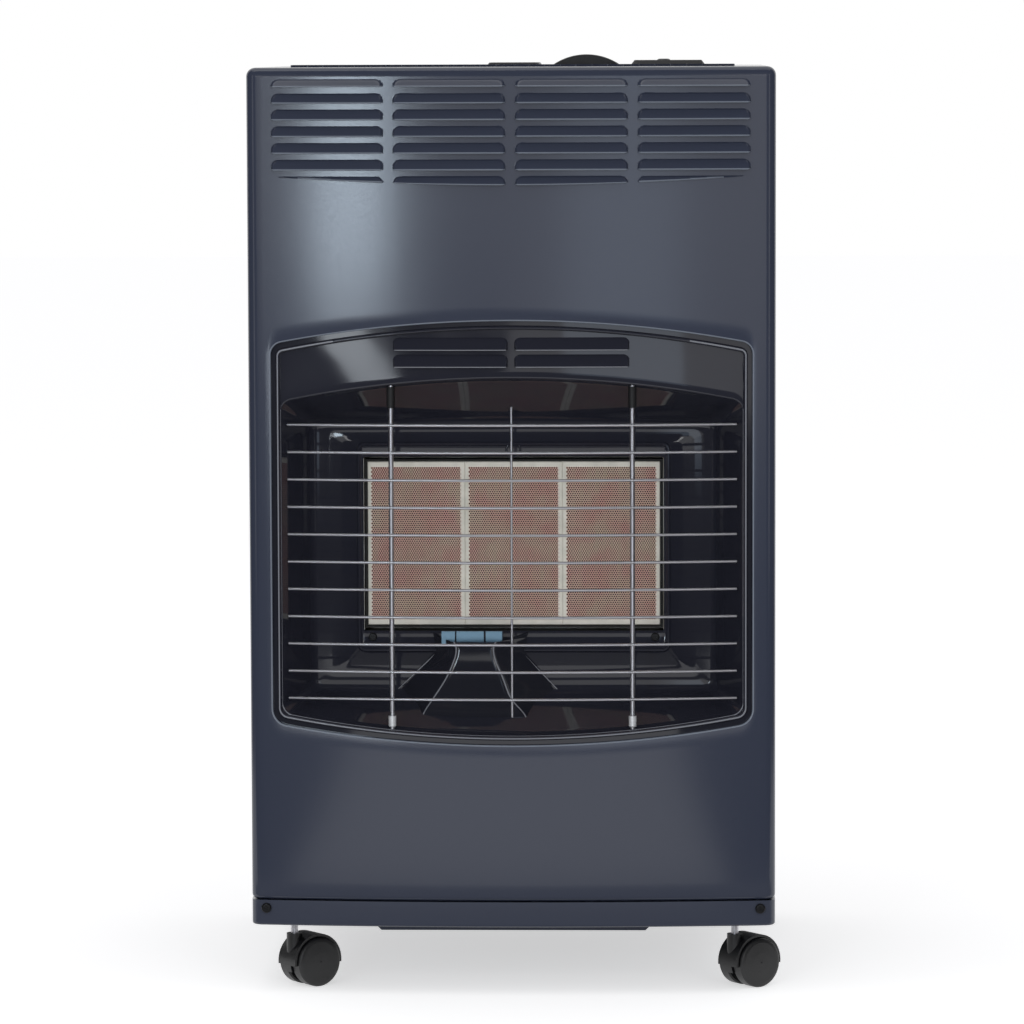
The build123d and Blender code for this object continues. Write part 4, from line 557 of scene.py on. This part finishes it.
# flange behind the panel, then the rolled bead that shows inside the opening
steps = [(FLANGE_REACH, 0.0), (-BEAD_GAP + 0.6, 0.0)]
steps += [
    (-BEAD_GAP - BEAD_WIDTH * (1 - cos(turn)) / 2, BEAD_HEIGHT * sin(turn)) for turn in spaced(0, pi, 10)
]
bead = [[on_bow(x, z, up - DISH_INSET) for x, z in arched_loop(grown(OPENING, by))] for by, up in steps]
dish.patch(bead[:7], closed=True)
# painted highlight along the crest of the bead, left off over the top
dish.patch(bead[6:9], closed=True, kind=1)
dish.paint(0, lambda x, y, z: z > BEAD_HIGHLIGHT_TOP)
dish.patch(bead[8:], closed=True)
# brow and the narrow band round the mouth, with a rounded edge into the dish
mouth = arched_loop(MOUTH)
mouth_normals = inward(mouth)
brow_low = MOUTH["high"] - MOUTH["rise"] - 4
round_edge = [BROW_EDGE if z > brow_low and abs(x) < BROW_EDGE_HALF else MOUTH_EDGE for x, z in mouth]
bead_inner = arched_loop(grown(OPENING, -BEAD_GAP - BEAD_WIDTH))
rim_start = [(x - nx * r, z - nz * r) for (x, z), (nx, nz), r in zip(mouth, mouth_normals, round_edge)]
band = []
for t in spaced(0, 1, 8):
    band.append([
        on_bow(a[0] * (1 - t) + b[0] * t, a[1] * (1 - t) + b[1] * t, -DISH_INSET)
        for a, b in zip(bead_inner, rim_start)
    ])
for turn in spaced(0, pi / 2, 6)[1:]:
    band.append([
        on_bow(x - nx * r * (1 - sin(turn)), z - nz * r * (1 - sin(turn)), -DISH_INSET - r * (1 - cos(turn)))
        for (x, z), (nx, nz), r in zip(mouth, mouth_normals, round_edge)
    ])
lip_row = band[-1]
turn_row = [(x, max(mouth_back_y, lip_row[k][1] + 0.5), z) for k, (x, z) in enumerate(mouth)]
band.append(turn_row)
dish.patch(band[:10], closed=True)
first_edge_face = len(dish.faces)
# painted highlight on the rounded edge into the dish, left off along the top
dish.patch(band[9:12], closed=True, kind=1)
dish.paint(0, lambda x, y, z: z > EDGE_HIGHLIGHT_TOP, first_edge_face)
dish.patch(band[11:], closed=True)
# walls, bent round into the back plate
wall_foot = arched_loop(BACK)
plate_in = arched_loop(grown(BACK, -WALL_BEND))
wall = []
for t in spaced(0, 1, 10):
    wall.append([
        tuple(Vector(a) * (1 - t) + Vector((x, plate_y, z)) * t) for a, (x, z) in zip(turn_row, wall_foot)
    ])
bend_start = [Vector(a).lerp(Vector(b), 0.2) for a, b in zip(wall[-1], wall[0])]
bend_end = [Vector((x, plate_y, z)) for x, z in plate_in]
wall = wall[:9]
for t in spaced(0, 1, 6)[1:]:
    wall.append([
        tuple(a * (1 - t) ** 2 + Vector((x, plate_y, z)) * 2 * t * (1 - t) + b * t**2)
        for a, (x, z), b in zip(bend_start, wall_foot, bend_end)
    ])
dish.patch(wall, closed=True)
# back plate: ridge round the window, window edge turned back
ridge = [(-d, up) for d, up in RIDGE_FLANK] + [(d - RIDGE_WIDTH, up) for d, up in reversed(RIDGE_FLANK)]
rings = [[(x, plate_y, z) for x, z in plate_in]]
rings += [[(x, plate_y - up, z) for x, z in arched_loop(grown(RIDGE, by))] for by, up in ridge]
for by, back in ((SHEET, 0), (0, SHEET)):
    rings.append([(x, plate_y + back, z) for x, z in arched_loop(grown(WINDOW, by))])
dish.patch(rings, closed=True)
# pressed ring round a hole in the middle, above the window
rings = []
for turn in spaced(0, pi, 8):
    radius = RING_RADIUS + RING_HALF * cos(turn)
    rings.append([
        (radius * cos(a), plate_y - RING_HALF * sin(turn), RING_Z + radius * sin(a))
        for a in spaced(0, 2 * pi, 40)[:-1]
    ])
dish.patch(rings, closed=True)
make_piece(
    "enamelled_dish", dish, [enamel, painted_highlight_enamel], "cabinet", ["reflector"],
    thickness=SHEET, sharp=40,
)

# louvres of the brow, pressed out of it
brow_out = -DISH_INSET - BROW_SINK
brow_hoods = SheetMesh()
for row in range(2):
    bottom = MOUTH["high"] + BROW_FOOT + BROW_PITCH * row
    for centre in (-BROW_STEP / 2, BROW_STEP / 2):
        sizes = (centre, bottom, *BROW_HOOD.values())
        xs = across_louvre(centre, BROW_HOOD["width"])
        rows = []
        for t in HOOD_STEPS[:-1]:
            z = bottom + BROW_HOOD["height"] * t
            rows.append([on_bow(x, z, brow_out + hood_rise(x, z, *sizes)) for x in xs])
        brow_hoods.patch(rows)
        # the turned-in cut edges take the painted highlight
        brow_hoods.patch([
            [on_bow(x, bottom - drop, brow_out - back + hood_rise(x, bottom, *sizes)) for x in xs[3:-3]]
            for drop, back in BROW_LIP
        ], kind=1)
make_piece("brow_louvres", brow_hoods, [enamel, painted_highlight_enamel], "cabinet", thickness=SHEET)

# ---------------------------------------------------------------- ceramic plaques
# Three cordierite tiles side by side, each pierced right through with some three thousand fine holes in
# a honeycomb pattern inside a plain margin. Bisque-fired: dead matt, cream at the margins, and a mottled
# pinkish tan where the flame has been.
HOLE_PITCH = 1.85
HOLE_RADIUS = 0.7
HOLE_DEPTH = 2.5
HOLES_ACROSS = 39
PLAQUE_GAP = 0.1
PLAQUE_MARGIN = 9  # the plain strips above and below the holes, together
PLAQUE_CHAMFER = 0.6
FIELD_EDGE = 0.58  # from the outermost holes' middles to the plain margin above and below
MARGIN_SINK = 0.02  # the margin lies this far behind the pierced field
plaques_low, plaques_high = (corner * 1000 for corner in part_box("burner_plaques"))
plaque_width = (plaques_high.x - plaques_low.x - 2 * PLAQUE_GAP) / 3
plaque_height = plaques_high.z - plaques_low.z
row_pitch = HOLE_PITCH * sqrt(3) / 2
holes_up = int((plaque_height - PLAQUE_MARGIN) / row_pitch)

# Cream ceramic of the margins: matt, clean and hardly mottled.
cream, tree, shader = new_finish("cream_ceramic", "#d2cfc4", Roughness=0.85, IOR=1.45)
blotches(tree, shader, 14, "#d3d0c5", "#e2ded3")
add_relief(tree, shader, 0.5, 0.02)

# Fired face: the colour drifts from greenish tan to dusty pink over a few centimetres.
fired, tree, shader = new_finish("fired_ceramic", "#cbb0a4", Roughness=0.9, IOR=1.45)
blotches(tree, shader, 22, "#cbb4a2", "#cba096", seed=3.0)

# Holes: painted shade, the same ceramic darkened to a red-brown as if in its own shadow, in faint blotches.
hole_shade, tree, shader = new_finish("hole_painted_shade_ceramic", "#3a221f", Roughness=0.95)
blotches(tree, shader, 20, "#35241f", "#402321", seed=5.0)

front_y = plaques_low.y
margin_y = front_y + MARGIN_SINK
cell_radius = HOLE_PITCH / sqrt(3)
hexagon = [(sin(pi / 3 * k), cos(pi / 3 * k)) for k in range(6, 0, -1)]


def rectangle(low_x, high_x, y, low_z, high_z):
    """Corners of an upright rectangle, anticlockwise from the front."""
    return [(low_x, y, low_z), (high_x, y, low_z), (high_x, y, high_z), (low_x, y, high_z)]


for index in range(3):
    left_x = plaques_low.x + index * (plaque_width + PLAQUE_GAP)
    right_x = left_x + plaque_width
    start_x = left_x + (plaque_width - (HOLES_ACROSS - 0.5) * HOLE_PITCH) / 2
    start_z = plaques_low.z + (plaque_height - (holes_up - 1) * row_pitch) / 2
    tile = SheetMesh()
    for row in range(holes_up):
        for k in range(-1, HOLES_ACROSS + 1):
            pierced = 0 <= k < HOLES_ACROSS
            if not pierced and (k < 0) != bool(row % 2):
                continue
            x = start_x + (k + 0.5 * (row % 2)) * HOLE_PITCH
            z = start_z + row * row_pitch
            rim = [(x + cell_radius * s, front_y, z + cell_radius * c) for s, c in hexagon]
            if not pierced:
                tile.cap(rim)
                continue
            hole = [(x + HOLE_RADIUS * s, front_y, z + HOLE_RADIUS * c) for s, c in hexagon]
            deep = [(a, front_y + HOLE_DEPTH, b) for a, _, b in hole]
            tile.patch([rim, hole], closed=True, kind=1)
            tile.patch([hole, deep], closed=True, kind=2)
            tile.cap(deep, kind=2)
    # the tile's back, its sides, a chamfer, and the margin up to the pierced field
    rings = []
    for y, trim in ((plaques_high.y, 0.0), (front_y + PLAQUE_CHAMFER, 0.0), (margin_y, PLAQUE_CHAMFER)):
        rings.append(
            rectangle(left_x + trim, right_x - trim, y, plaques_low.z + trim, plaques_high.z - trim)
        )
    rings.append(rectangle(
        start_x - HOLE_PITCH / 2 - 0.02, start_x + (HOLES_ACROSS - 0.5) * HOLE_PITCH + 0.02, margin_y,
        start_z - FIELD_EDGE, start_z + (holes_up - 1) * row_pitch + FIELD_EDGE,
    ))
    tile.patch(rings, closed=True)
    tile.cap(rings[0][::-1])
    # the first tile stands for the node of all three
    names = ["burner_plaques"] if index == 0 else []
    make_piece(
        f"ceramic_plaque_{index + 1}", tile, [cream, fired, hole_shade], "cabinet", names,
        sharp=30,
    )

# ---------------------------------------------------------------- burner behind the dish
# Pressed boxes of aluminised steel carry the plaques on a fibre gasket; each has its own venturi and a
# brass injector below. Heat has dulled the coating to a grey with brownish clouds.
aluminised, tree, shader = new_finish("heat_dulled_aluminised_steel", "#8f8d88", Metallic=1.0, Roughness=0.5)
blotches(tree, shader, 35, "#7c776f", "#989793", seed=1.0)
dress(aluminised, "burner_box", "burner_venturis")

# Frame round the plaques: the same steel, dull black as painted shade round the recessed plaques.
frame_shade_steel, tree, shader = new_finish("frame_steel_painted_shade", "#1a1918", Metallic=0.3, Roughness=0.6)
add_relief(tree, shader, 1.0, 0.03)
dress(frame_shade_steel, "plaque_frame")

# Ceramic fibre paper: soft and dull, its fibres lying flat.
fibre, tree, shader = new_finish("ceramic_fibre_gasket", "#6b675f", Roughness=1.0)
add_relief(tree, shader, 0.4, 0.1, stretch=(1, 1, 4))
dress(fibre, "plaque_gasket")

# ---------------------------------------------------------------- wire guard
# Eleven bowed wires spot-welded to two thicker rods and a thin middle wire, bright zinc plated. The rods
# sit in black sleeves under the brow and in pale pressed feet on the floor of the dish.

# Zinc plated wire: bright, with the faint unevenness of drawing and plating.
zinc_wire, tree, shader = new_finish("bright_zinc_wire", "#c9c8cd", Metallic=1.0, Roughness=0.34)
drawn = add_relief(tree, shader, 2.5, 0.003)
vary(tree, shader, "Roughness", drawn.outputs["Fac"], 0.3, 0.4)
dress(zinc_wire, "guard_wires", "guard_rods", "caster_stems")

# Black rubber of sleeves and lead: dull, lighter only where it curves to the light.
sleeve_black, tree, shader = new_finish("black_sleeve_rubber", "#141416", Roughness=0.55)
add_relief(tree, shader, 0.6, 0.02)
dress(sleeve_black, "guard_sleeves", "ignition_lead")

# Pale zinc of the pressed feet: fresh plating, near white.
foot_zinc, tree, shader = new_finish("pale_zinc_foot", "#dfe0e2", Metallic=0.5, Roughness=0.4)
add_relief(tree, shader, 0.5, 0.01)
dress(foot_zinc, "guard_feet")

# ---------------------------------------------------------------- pilot
# A pressed shroud, enamelled like the dish, funnels up to an open mouth under the plaques. It is folded
# along two edges in front and screwed to the back plate by a flange. In the mouth stands the bent
# stainless head of the pilot burner, with the spark electrode and the thermocouple either side.
SHROUD_WALL_Y = -149.8
SHROUD_MIDDLE = -32
SHROUD_LEVELS = 44
SHROUD_BLEND = (-4, -2, 0, 2, 4)  # heights over which the stations below are averaged
SHROUD_FOLD = 3.2  # how far a fold reaches into the sheets on both sides of it
MOUTH_NARROW = 0.05  # the inside of its mouth is drawn in by this share towards the middle,
MOUTH_SHALLOW = 0.09  # and by this share towards the wall
MOUTH_DIP = 6.5  # how much lower the mouth's lip is in front than at the wall,
DIP_RUN = 8  # and over which depth it sinks
FLANGE_FRONT = 0.9  # the flange's face stands this far before the wall's plane, its back this far behind
FLANGE_BACK = 0.7
FLANGE = ((-63.5, 269.5), (-96, 238.5), (37, 238.5), (7.5, 269.5))
FLANGE_IN = ((-62, 267.5), (-92, 240), (33, 240), (6, 267.5))
FLANGE_HIGHLIGHT_SHARE = 0.3  # share of the flange's width with the painted highlight
# height, wall left, fold left, fold right, wall right, and how far the front stands out
SHROUD_STATIONS = (
    (286.5, -66, -53, -9, 13, -161),
    (282.5, -64.5, -49, -13, 10, -167),
    (279.6, -63.5, -46.5, -15.5, 8, -169.5),
    (272, -62, -45.8, -16, 6.2, -170.5),
    (262, -71, -49.2, -13, 15.5, -171.5),
    (252, -81, -53.8, -8, 24.5, -173),
    (243, -90, -59.5, -5, 32.5, -174.5),
    (235, -92, -65, -1.5, 34, -176),
    (228, -92, -70, 5, 34, -177),
    (223.5, -92, -73, 10, 33, -178.5),
    (219, -92, -74, 12, 32, -179.5),
)


def shroud_row(z, wall_left, fold_left, fold_right, wall_right, front_y):
    """One level of the shroud: straight sides and front, joined by rounded folds."""
    corners = [
        (wall_left, SHROUD_WALL_Y), (fold_left, front_y), (fold_right, front_y), (wall_right, SHROUD_WALL_Y)
    ]
    row = [corners[0]]
    for before, fold, after in (corners[:3], corners[1:]):
        ends = []
        for side in (before, after):
            share = min(0.45, SHROUD_FOLD / hypot(side[0] - fold[0], side[1] - fold[1]))
            ends.append(tuple(f + (s - f) * share for f, s in zip(fold, side)))
        row.append(ends[0])
        for t in spaced(0, 1, 5)[1:]:
            row.append(tuple(
                a * (1 - t) ** 2 + f * 2 * t * (1 - t) + b * t**2 for a, f, b in zip(ends[0], fold, ends[1])
            ))
    row.append(corners[3])
    return [(x, y, z) for x, y in row]


def between(stations, z):
    """Values of the station table at a height, in proportion between its entries."""
    for upper, lower in zip(stations, stations[1:]):
        if lower[0] <= z <= upper[0]:
            t = (upper[0] - z) / (upper[0] - lower[0])
            return [a + (b - a) * t for a, b in zip(upper, lower)]
    return list(stations[-1])


# Shroud enamel: the dish's enamel, darkened a shade as painted shade on the shroud's front, and a little
# flatter.
shroud_shaded_enamel, tree, shader = new_finish("shroud_enamel_painted_shade", "#22232a", Roughness=0.06, IOR=1.5)
add_relief(tree, shader, 15, 0.02, detail=1.0)

shroud = SheetMesh()
shroud_top, shroud_foot = SHROUD_STATIONS[0][0], SHROUD_STATIONS[-1][0]
outer = []
for z in spaced(shroud_top, shroud_foot, SHROUD_LEVELS):
    near = [between(SHROUD_STATIONS, min(shroud_top, max(shroud_foot, z + d))) for d in SHROUD_BLEND]
    mean = [sum(values) / len(near) for values in zip(*near)]
    outer.append(shroud_row(z, *mean[1:]))
# inside of the mouth, from deep in it up to the rim; all of it dips in front
inner_rows = []
for drop in (24, 10, 1):
    inner_rows.append([
        (x + (SHROUD_MIDDLE - x) * MOUTH_NARROW, y + (SHROUD_WALL_Y - y) * MOUTH_SHALLOW, z - drop)
        for x, y, z in outer[0]
    ])
rim = [(x, y - 0.5, z + 0.5) for x, y, z in outer[0]]
dip = [
    [(x, y, z - MOUTH_DIP * max(0.0, min(1.0, (SHROUD_WALL_Y - 4 - y) / DIP_RUN))) for x, y, z in row]
    for row in inner_rows + [rim]
]
lip_z = [point[2] for point in dip[-1]]
skirt = [[(x, y, min(z, top)) for (x, y, z), top in zip(row, lip_z)] for row in outer]
# painted highlight: a paler strip runs down each of the two folds
for first, last, kind in ((0, 3, 0), (3, 4, 1), (4, 9, 0), (9, 10, 1), (10, 13, 0)):
    shroud.patch([row[first : last + 1] for row in dip + skirt], kind=kind)
# flange against the back plate: a trapezoid, with a painted highlight round its rim
flange_back_y = SHROUD_WALL_Y + FLANGE_BACK
flange_front_y = SHROUD_WALL_Y - FLANGE_FRONT
flange_rim = [(x + (u - x) * FLANGE_HIGHLIGHT_SHARE, z + (w - z) * FLANGE_HIGHLIGHT_SHARE) for (x, z), (u, w) in zip(FLANGE, FLANGE_IN)]
outline_back = [(x, flange_back_y, z) for x, z in FLANGE]
outline_front, rim_front, inside_front = (
    [(x, flange_front_y, z) for x, z in outline] for outline in (FLANGE, flange_rim, FLANGE_IN)
)
shroud.patch([outline_back, outline_front], closed=True)
shroud.patch([outline_front, rim_front], closed=True, kind=1)
shroud.patch([rim_front, inside_front], closed=True)
make_piece(
    "pilot_shroud_sheet", shroud, [shroud_shaded_enamel, painted_highlight_enamel], "cabinet", ["pilot_shroud"],
    sharp=50,
)

# Stainless steel: coloured pale blue as a painted reflection of bluish light.
stainless, tree, shader = new_finish("stainless_painted_reflection", "#6f8a9c", Metallic=1.0, Roughness=0.3)
add_relief(tree, shader, 2.0, 0.004)
dress(stainless, "pilot_thermocouple")

# Head of the pilot burner: three bent plates side by side in the shroud's mouth.
PILOT_PLATES = ((-58, -47.2), (-46, -24), (-22.4, -9.2))  # their left and right edges
PILOT_LOW = 276
PILOT_HIGH = 288.3
PILOT_FRONT_Y = -160.5
PILOT_BACK_Y = -157.5
pilot_head = SheetMesh()
for left_x, right_x in PILOT_PLATES:
    for y in (PILOT_FRONT_Y, PILOT_BACK_Y):
        pilot_head.patch([[(x, y, z) for x in (left_x, right_x)] for z in (PILOT_LOW, PILOT_HIGH)])
    pilot_head.patch([
        [(x, y, z) for y in (PILOT_FRONT_Y, PILOT_BACK_Y)]
        for x, z in ((left_x, PILOT_LOW), (left_x, PILOT_HIGH), (right_x, PILOT_HIGH), (right_x, PILOT_LOW))
    ])
make_piece("pilot_burner_head", pilot_head, [stainless], "cabinet", ["pilot_burner"])

# Porcelain of the electrode: white, glazed, barely uneven.
porcelain, tree, shader = new_finish("white_porcelain", "#e6e4de", Roughness=0.3)
add_relief(tree, shader, 1.5, 0.01)
dress(porcelain, "pilot_electrode")

# ---------------------------------------------------------------- gas train
# A die-cast valve under the knob feeds three copper pipes to the burner; nuts, injectors and the hose
# nozzle are turned brass. All of it sits inside the cabinet and shows only with the rear cover off.

# Die-cast aluminium: grey, dull and a little sandy.
casting, tree, shader = new_finish("die_cast_aluminium", "#8c8e90", Metallic=1.0, Roughness=0.5)
add_relief(tree, shader, 0.9, 0.06)
dress(casting, "gas_valve_body")

# Brass: turned bright, with fine tool marks.
brass, tree, shader = new_finish("turned_brass", "#c8a45a", Metallic=1.0, Roughness=0.28)
add_relief(tree, shader, 0.4, 0.01)
dress(brass, "injectors", "pipe_nuts", "hose_nozzle", "valve_plug", "valve_spindle")

# Copper tube: a dull brown skin from storage, in soft clouds.
copper, tree, shader = new_finish("dull_copper_tube", "#a8684a", Metallic=1.0, Roughness=0.4)
blotches(tree, shader, 30, "#8f5a42", "#b87454", seed=2.0)
dress(copper, "gas_pipe_low", "gas_pipe_medium", "gas_pipe_high", "pilot_gas_tube", "thermocouple_lead")

# ---------------------------------------------------------------- controls
# Knob, bezel and igniter button are moulded in black ABS with a fine spark-eroded grain.
control_abs, tree, shader = new_finish("moulded_black_abs", "#1b1b1d", Roughness=0.42, IOR=1.53)
grain = add_relief(tree, shader, 0.35, 0.02, detail=3.0)
vary(tree, shader, "Roughness", grain.outputs["Fac"], 0.36, 0.5)
dress(control_abs, "control_bezel", "control_knob", "piezo_button", "piezo_igniter")

# ---------------------------------------------------------------- casters
# Twin-wheel casters moulded in black nylon: a hood over two wheels on a steel axle, turning on a zinc
# plated stem. The nylon is satin.
nylon, tree, shader = new_finish("moulded_black_nylon", "#121214", Roughness=0.38, IOR=1.53)
grain = add_relief(tree, shader, 0.8, 0.02)
vary(tree, shader, "Roughness", grain.outputs["Fac"], 0.3, 0.48)
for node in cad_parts:
    if node.startswith(("caster_hood", "caster_wheel")):
        dress(nylon, node)
    if node.startswith("caster_axle"):
        dress(zinc_wire, node)

# ---------------------------------------------------------------- studio
# White floor and surroundings. A bright soft box on the left makes the panel's highlight, with a small one
# for the brow, a dim one on the right, one overhead, two broad lamps in front and a strip on either side.
# The camera stands some four metres away, a little to the right and above.
FLOOR_HALF = 15.0
FLOOR_SHADE = (0.8, 0.8, 0.8, 1)  # these three are linear
FLOOR_GLOW = (0.55, 0.55, 0.55, 1)
ROOM_LIGHT = (0.55, 0.55, 0.56, 1)
CAMERA_PLACE = Vector((126.93, -4397.3, 755)) * MM
CAMERA_YAW = radians(-1.729)
CAMERA_PITCH = radians(5.165)
CAMERA_ROLL = radians(-0.188)
CAMERA_SHIFT = 0.0156
FOCAL_PIXELS = 5297.8
PICTURE_WIDTH = 1024


def seen_directly(tree):
    """1 for what the camera sees, also in mirrors and through glass, and 0 for the light on things."""
    path = add_node(tree, "ShaderNodeLightPath")
    seen = path.outputs["Is Camera Ray"]
    for ray in ("Is Glossy Ray", "Is Transmission Ray"):
        either = add_node(tree, "ShaderNodeMath", {0: seen, 1: path.outputs[ray]}, operation="MAXIMUM")
        seen = either.outputs[0]
    return seen


def flat_sheet(name, corners, finish):
    """Flat sheet of the studio; its corners are in metres."""
    mesh = bpy.data.meshes.new(name)
    mesh.from_pydata(corners, [], [(0, 1, 2, 3)])
    mesh.materials.append(finish)
    sheet = bpy.data.objects.new(name, mesh)
    bpy.context.scene.collection.objects.link(sheet)
    return sheet


world = bpy.data.worlds.new("studio")
bpy.context.scene.world = world
world.use_nodes = True
tree = world.node_tree
tree.nodes.clear()
seen = seen_directly(tree)
room = add_node(tree, "ShaderNodeBackground", values={"Color": ROOM_LIGHT, "Strength": 1.0})
white = add_node(tree, "ShaderNodeBackground", values={"Color": (1, 1, 1, 1), "Strength": 1.0})
mix = add_node(
    tree, "ShaderNodeMixShader", {0: seen, 1: room.outputs["Background"], 2: white.outputs["Background"]}
)
add_node(tree, "ShaderNodeOutputWorld", {"Surface": mix.outputs["Shader"]})

# White floor: matt, lifted to white where it is seen, so that only the heater's shadow shows on it.
floor_finish = bpy.data.materials.new("white_floor")
floor_finish.use_nodes = True
tree = floor_finish.node_tree
tree.nodes.clear()
seen = seen_directly(tree)
pale = add_node(tree, "ShaderNodeBsdfDiffuse", values={"Color": FLOOR_SHADE})
glow = add_node(tree, "ShaderNodeEmission", {"Strength": seen}, {"Color": FLOOR_GLOW})
both = add_node(tree, "ShaderNodeAddShader", {0: pale.outputs["BSDF"], 1: glow.outputs["Emission"]})
add_node(tree, "ShaderNodeOutputMaterial", {"Surface": both.outputs["Shader"]})
floor_corners = [(x * FLOOR_HALF, y * FLOOR_HALF, 0) for x, y in ((-1, -1), (1, -1), (1, 1), (-1, 1))]
floor = flat_sheet("studio_floor", floor_corners, floor_finish)


def soft_box(name, place, target, width, height, glow_level, tint=(1, 1, 1), roll=0.0):
    """Rectangular area lamp aimed at a point; its level is the brightness of its face, 1 being white."""
    lamp = bpy.data.lights.new(name, "AREA")
    lamp.shape = "RECTANGLE"
    lamp.size = width
    lamp.size_y = height
    lamp.energy = glow_level * pi * width * height
    lamp.color = tint
    box = bpy.data.objects.new(name, lamp)
    bpy.context.scene.collection.objects.link(box)
    box.location = place
    aim = (Vector(target) - Vector(place)).to_track_quat("-Z", "Y")
    box.rotation_euler = (aim @ Quaternion((0, 0, 1), radians(roll))).to_euler()
    box.visible_camera = False


# Light tints, all towards blue.
COOL = (0.73, 0.87, 1.0)
FAINTLY_COOL = (0.86, 0.93, 1.0)
BLUE = (0.65, 0.8, 1.0)
soft_box("soft_box_left", (-0.74, -3.14, 0.665), (-0.14, -0.2, 0.67), 0.31, 0.47, 12.8, COOL)
soft_box("soft_box_brow", (-0.70, -3.14, 0.335), (-0.12, -0.2, 0.5), 0.34, 0.094, 5.6, FAINTLY_COOL, roll=-28)
soft_box("soft_box_right", (0.36, -3.14, 0.62), (0.09, -0.2, 0.6), 0.48, 0.9, 1.0, BLUE)
soft_box("soft_box_overhead", (-0.4, -0.9, 3.2), (0, 0, 0.4), 2.2, 1.6, 0.7)
soft_box("front_lamp_left", (-2.1, -5.2, 2.2), (0, 0, 0.4), 2.0, 1.6, 2.6)
soft_box("front_lamp_right", (2.1, -5.2, 2.2), (0, 0, 0.4), 2.0, 1.6, 3.0)
soft_box("strip_left", (-1.25, -1.1, 0.7), (0, -0.2, 0.5), 0.25, 1.0, 1.0)
soft_box("strip_right", (1.25, -1.1, 0.7), (0, -0.2, 0.5), 0.25, 1.0, 1.0)

# Dark cards out of the picture shape what the glossy panel and enamel mirror: above, to the sides, far in
# front and between the front lamps. A grey one lies before the heater. They cast no shadow.
dark_card, tree, shader = new_finish("dark_card", "#25262b", Roughness=0.9)
add_relief(tree, shader, 5, 0.05)
CARDS = {
    "card_left": [(-1.5, -3.2, 0), (-1.5, 0.6, 0), (-1.5, 0.6, 2.4), (-1.5, -3.2, 2.4)],
    "card_right": [(1.5, -3.2, 0), (1.5, 0.6, 0), (1.5, 0.6, 2.4), (1.5, -3.2, 2.4)],
    "card_above": [(-1.5, -3.6, 1.3), (1.5, -3.6, 1.3), (1.5, -0.6, 2.4), (-1.5, -0.6, 2.4)],
    "card_between_lamps": [(-1.1, -5.4, 0.9), (1.1, -5.4, 0.9), (1.1, -5.4, 3.4), (-1.1, -5.4, 3.4)],
    "card_far_floor": [(-3, -6.5, 0.01), (3, -6.5, 0.01), (3, -2.3, 0.01), (-3, -2.3, 0.01)],
    "card_far_left": [(-5, -11, 0.01), (-0.3, -11, 0.01), (-0.3, -6.5, 0.01), (-5, -6.5, 0.01)],
    "card_floor_left": [(-3, -2.3, 0.01), (-0.52, -2.3, 0.01), (-0.3, -0.5, 0.01), (-3, -0.5, 0.01)],
    "card_floor_right": [(0.42, -2.3, 0.01), (3, -2.3, 0.01), (3, -0.5, 0.01), (0.26, -0.5, 0.01)],
    "card_floor_near": [(-0.6, -0.66, 0.012), (0.6, -0.66, 0.012), (0.6, -0.24, 0.012), (-0.6, -0.24, 0.012)],
}
grey_card, tree, shader = new_finish("grey_card", "#a8a8a8", Roughness=0.9)
add_relief(tree, shader, 5, 0.05)
for name, corners in CARDS.items():
    card = flat_sheet(name, corners, grey_card if name == "card_floor_near" else dark_card)
    card.visible_camera = False
    card.visible_diffuse = False
    card.visible_shadow = False

# camera axes: along the view, level to the right and upright, the last two turned by the roll
ahead = Vector((sin(CAMERA_YAW), cos(CAMERA_YAW), 0))
forward = ahead * cos(CAMERA_PITCH) - Vector((0, 0, 1)) * sin(CAMERA_PITCH)
level = Vector((cos(CAMERA_YAW), -sin(CAMERA_YAW), 0))
upright = level.cross(forward)
right_axis = level * cos(CAMERA_ROLL) + upright * sin(CAMERA_ROLL)
up_axis = upright * cos(CAMERA_ROLL) - level * sin(CAMERA_ROLL)
lens = bpy.data.cameras.new("camera")
lens.sensor_width = 36
lens.lens = lens.sensor_width * FOCAL_PIXELS / PICTURE_WIDTH
lens.shift_y = CAMERA_SHIFT
camera = bpy.data.objects.new("camera", lens)
bpy.context.scene.collection.objects.link(camera)
turned = Matrix((right_axis, up_axis, -forward)).transposed().to_4x4()
camera.matrix_world = Matrix.Translation(CAMERA_PLACE) @ turned
bpy.context.scene.camera = camera
bpy.context.scene.view_settings.view_transform = "Standard"
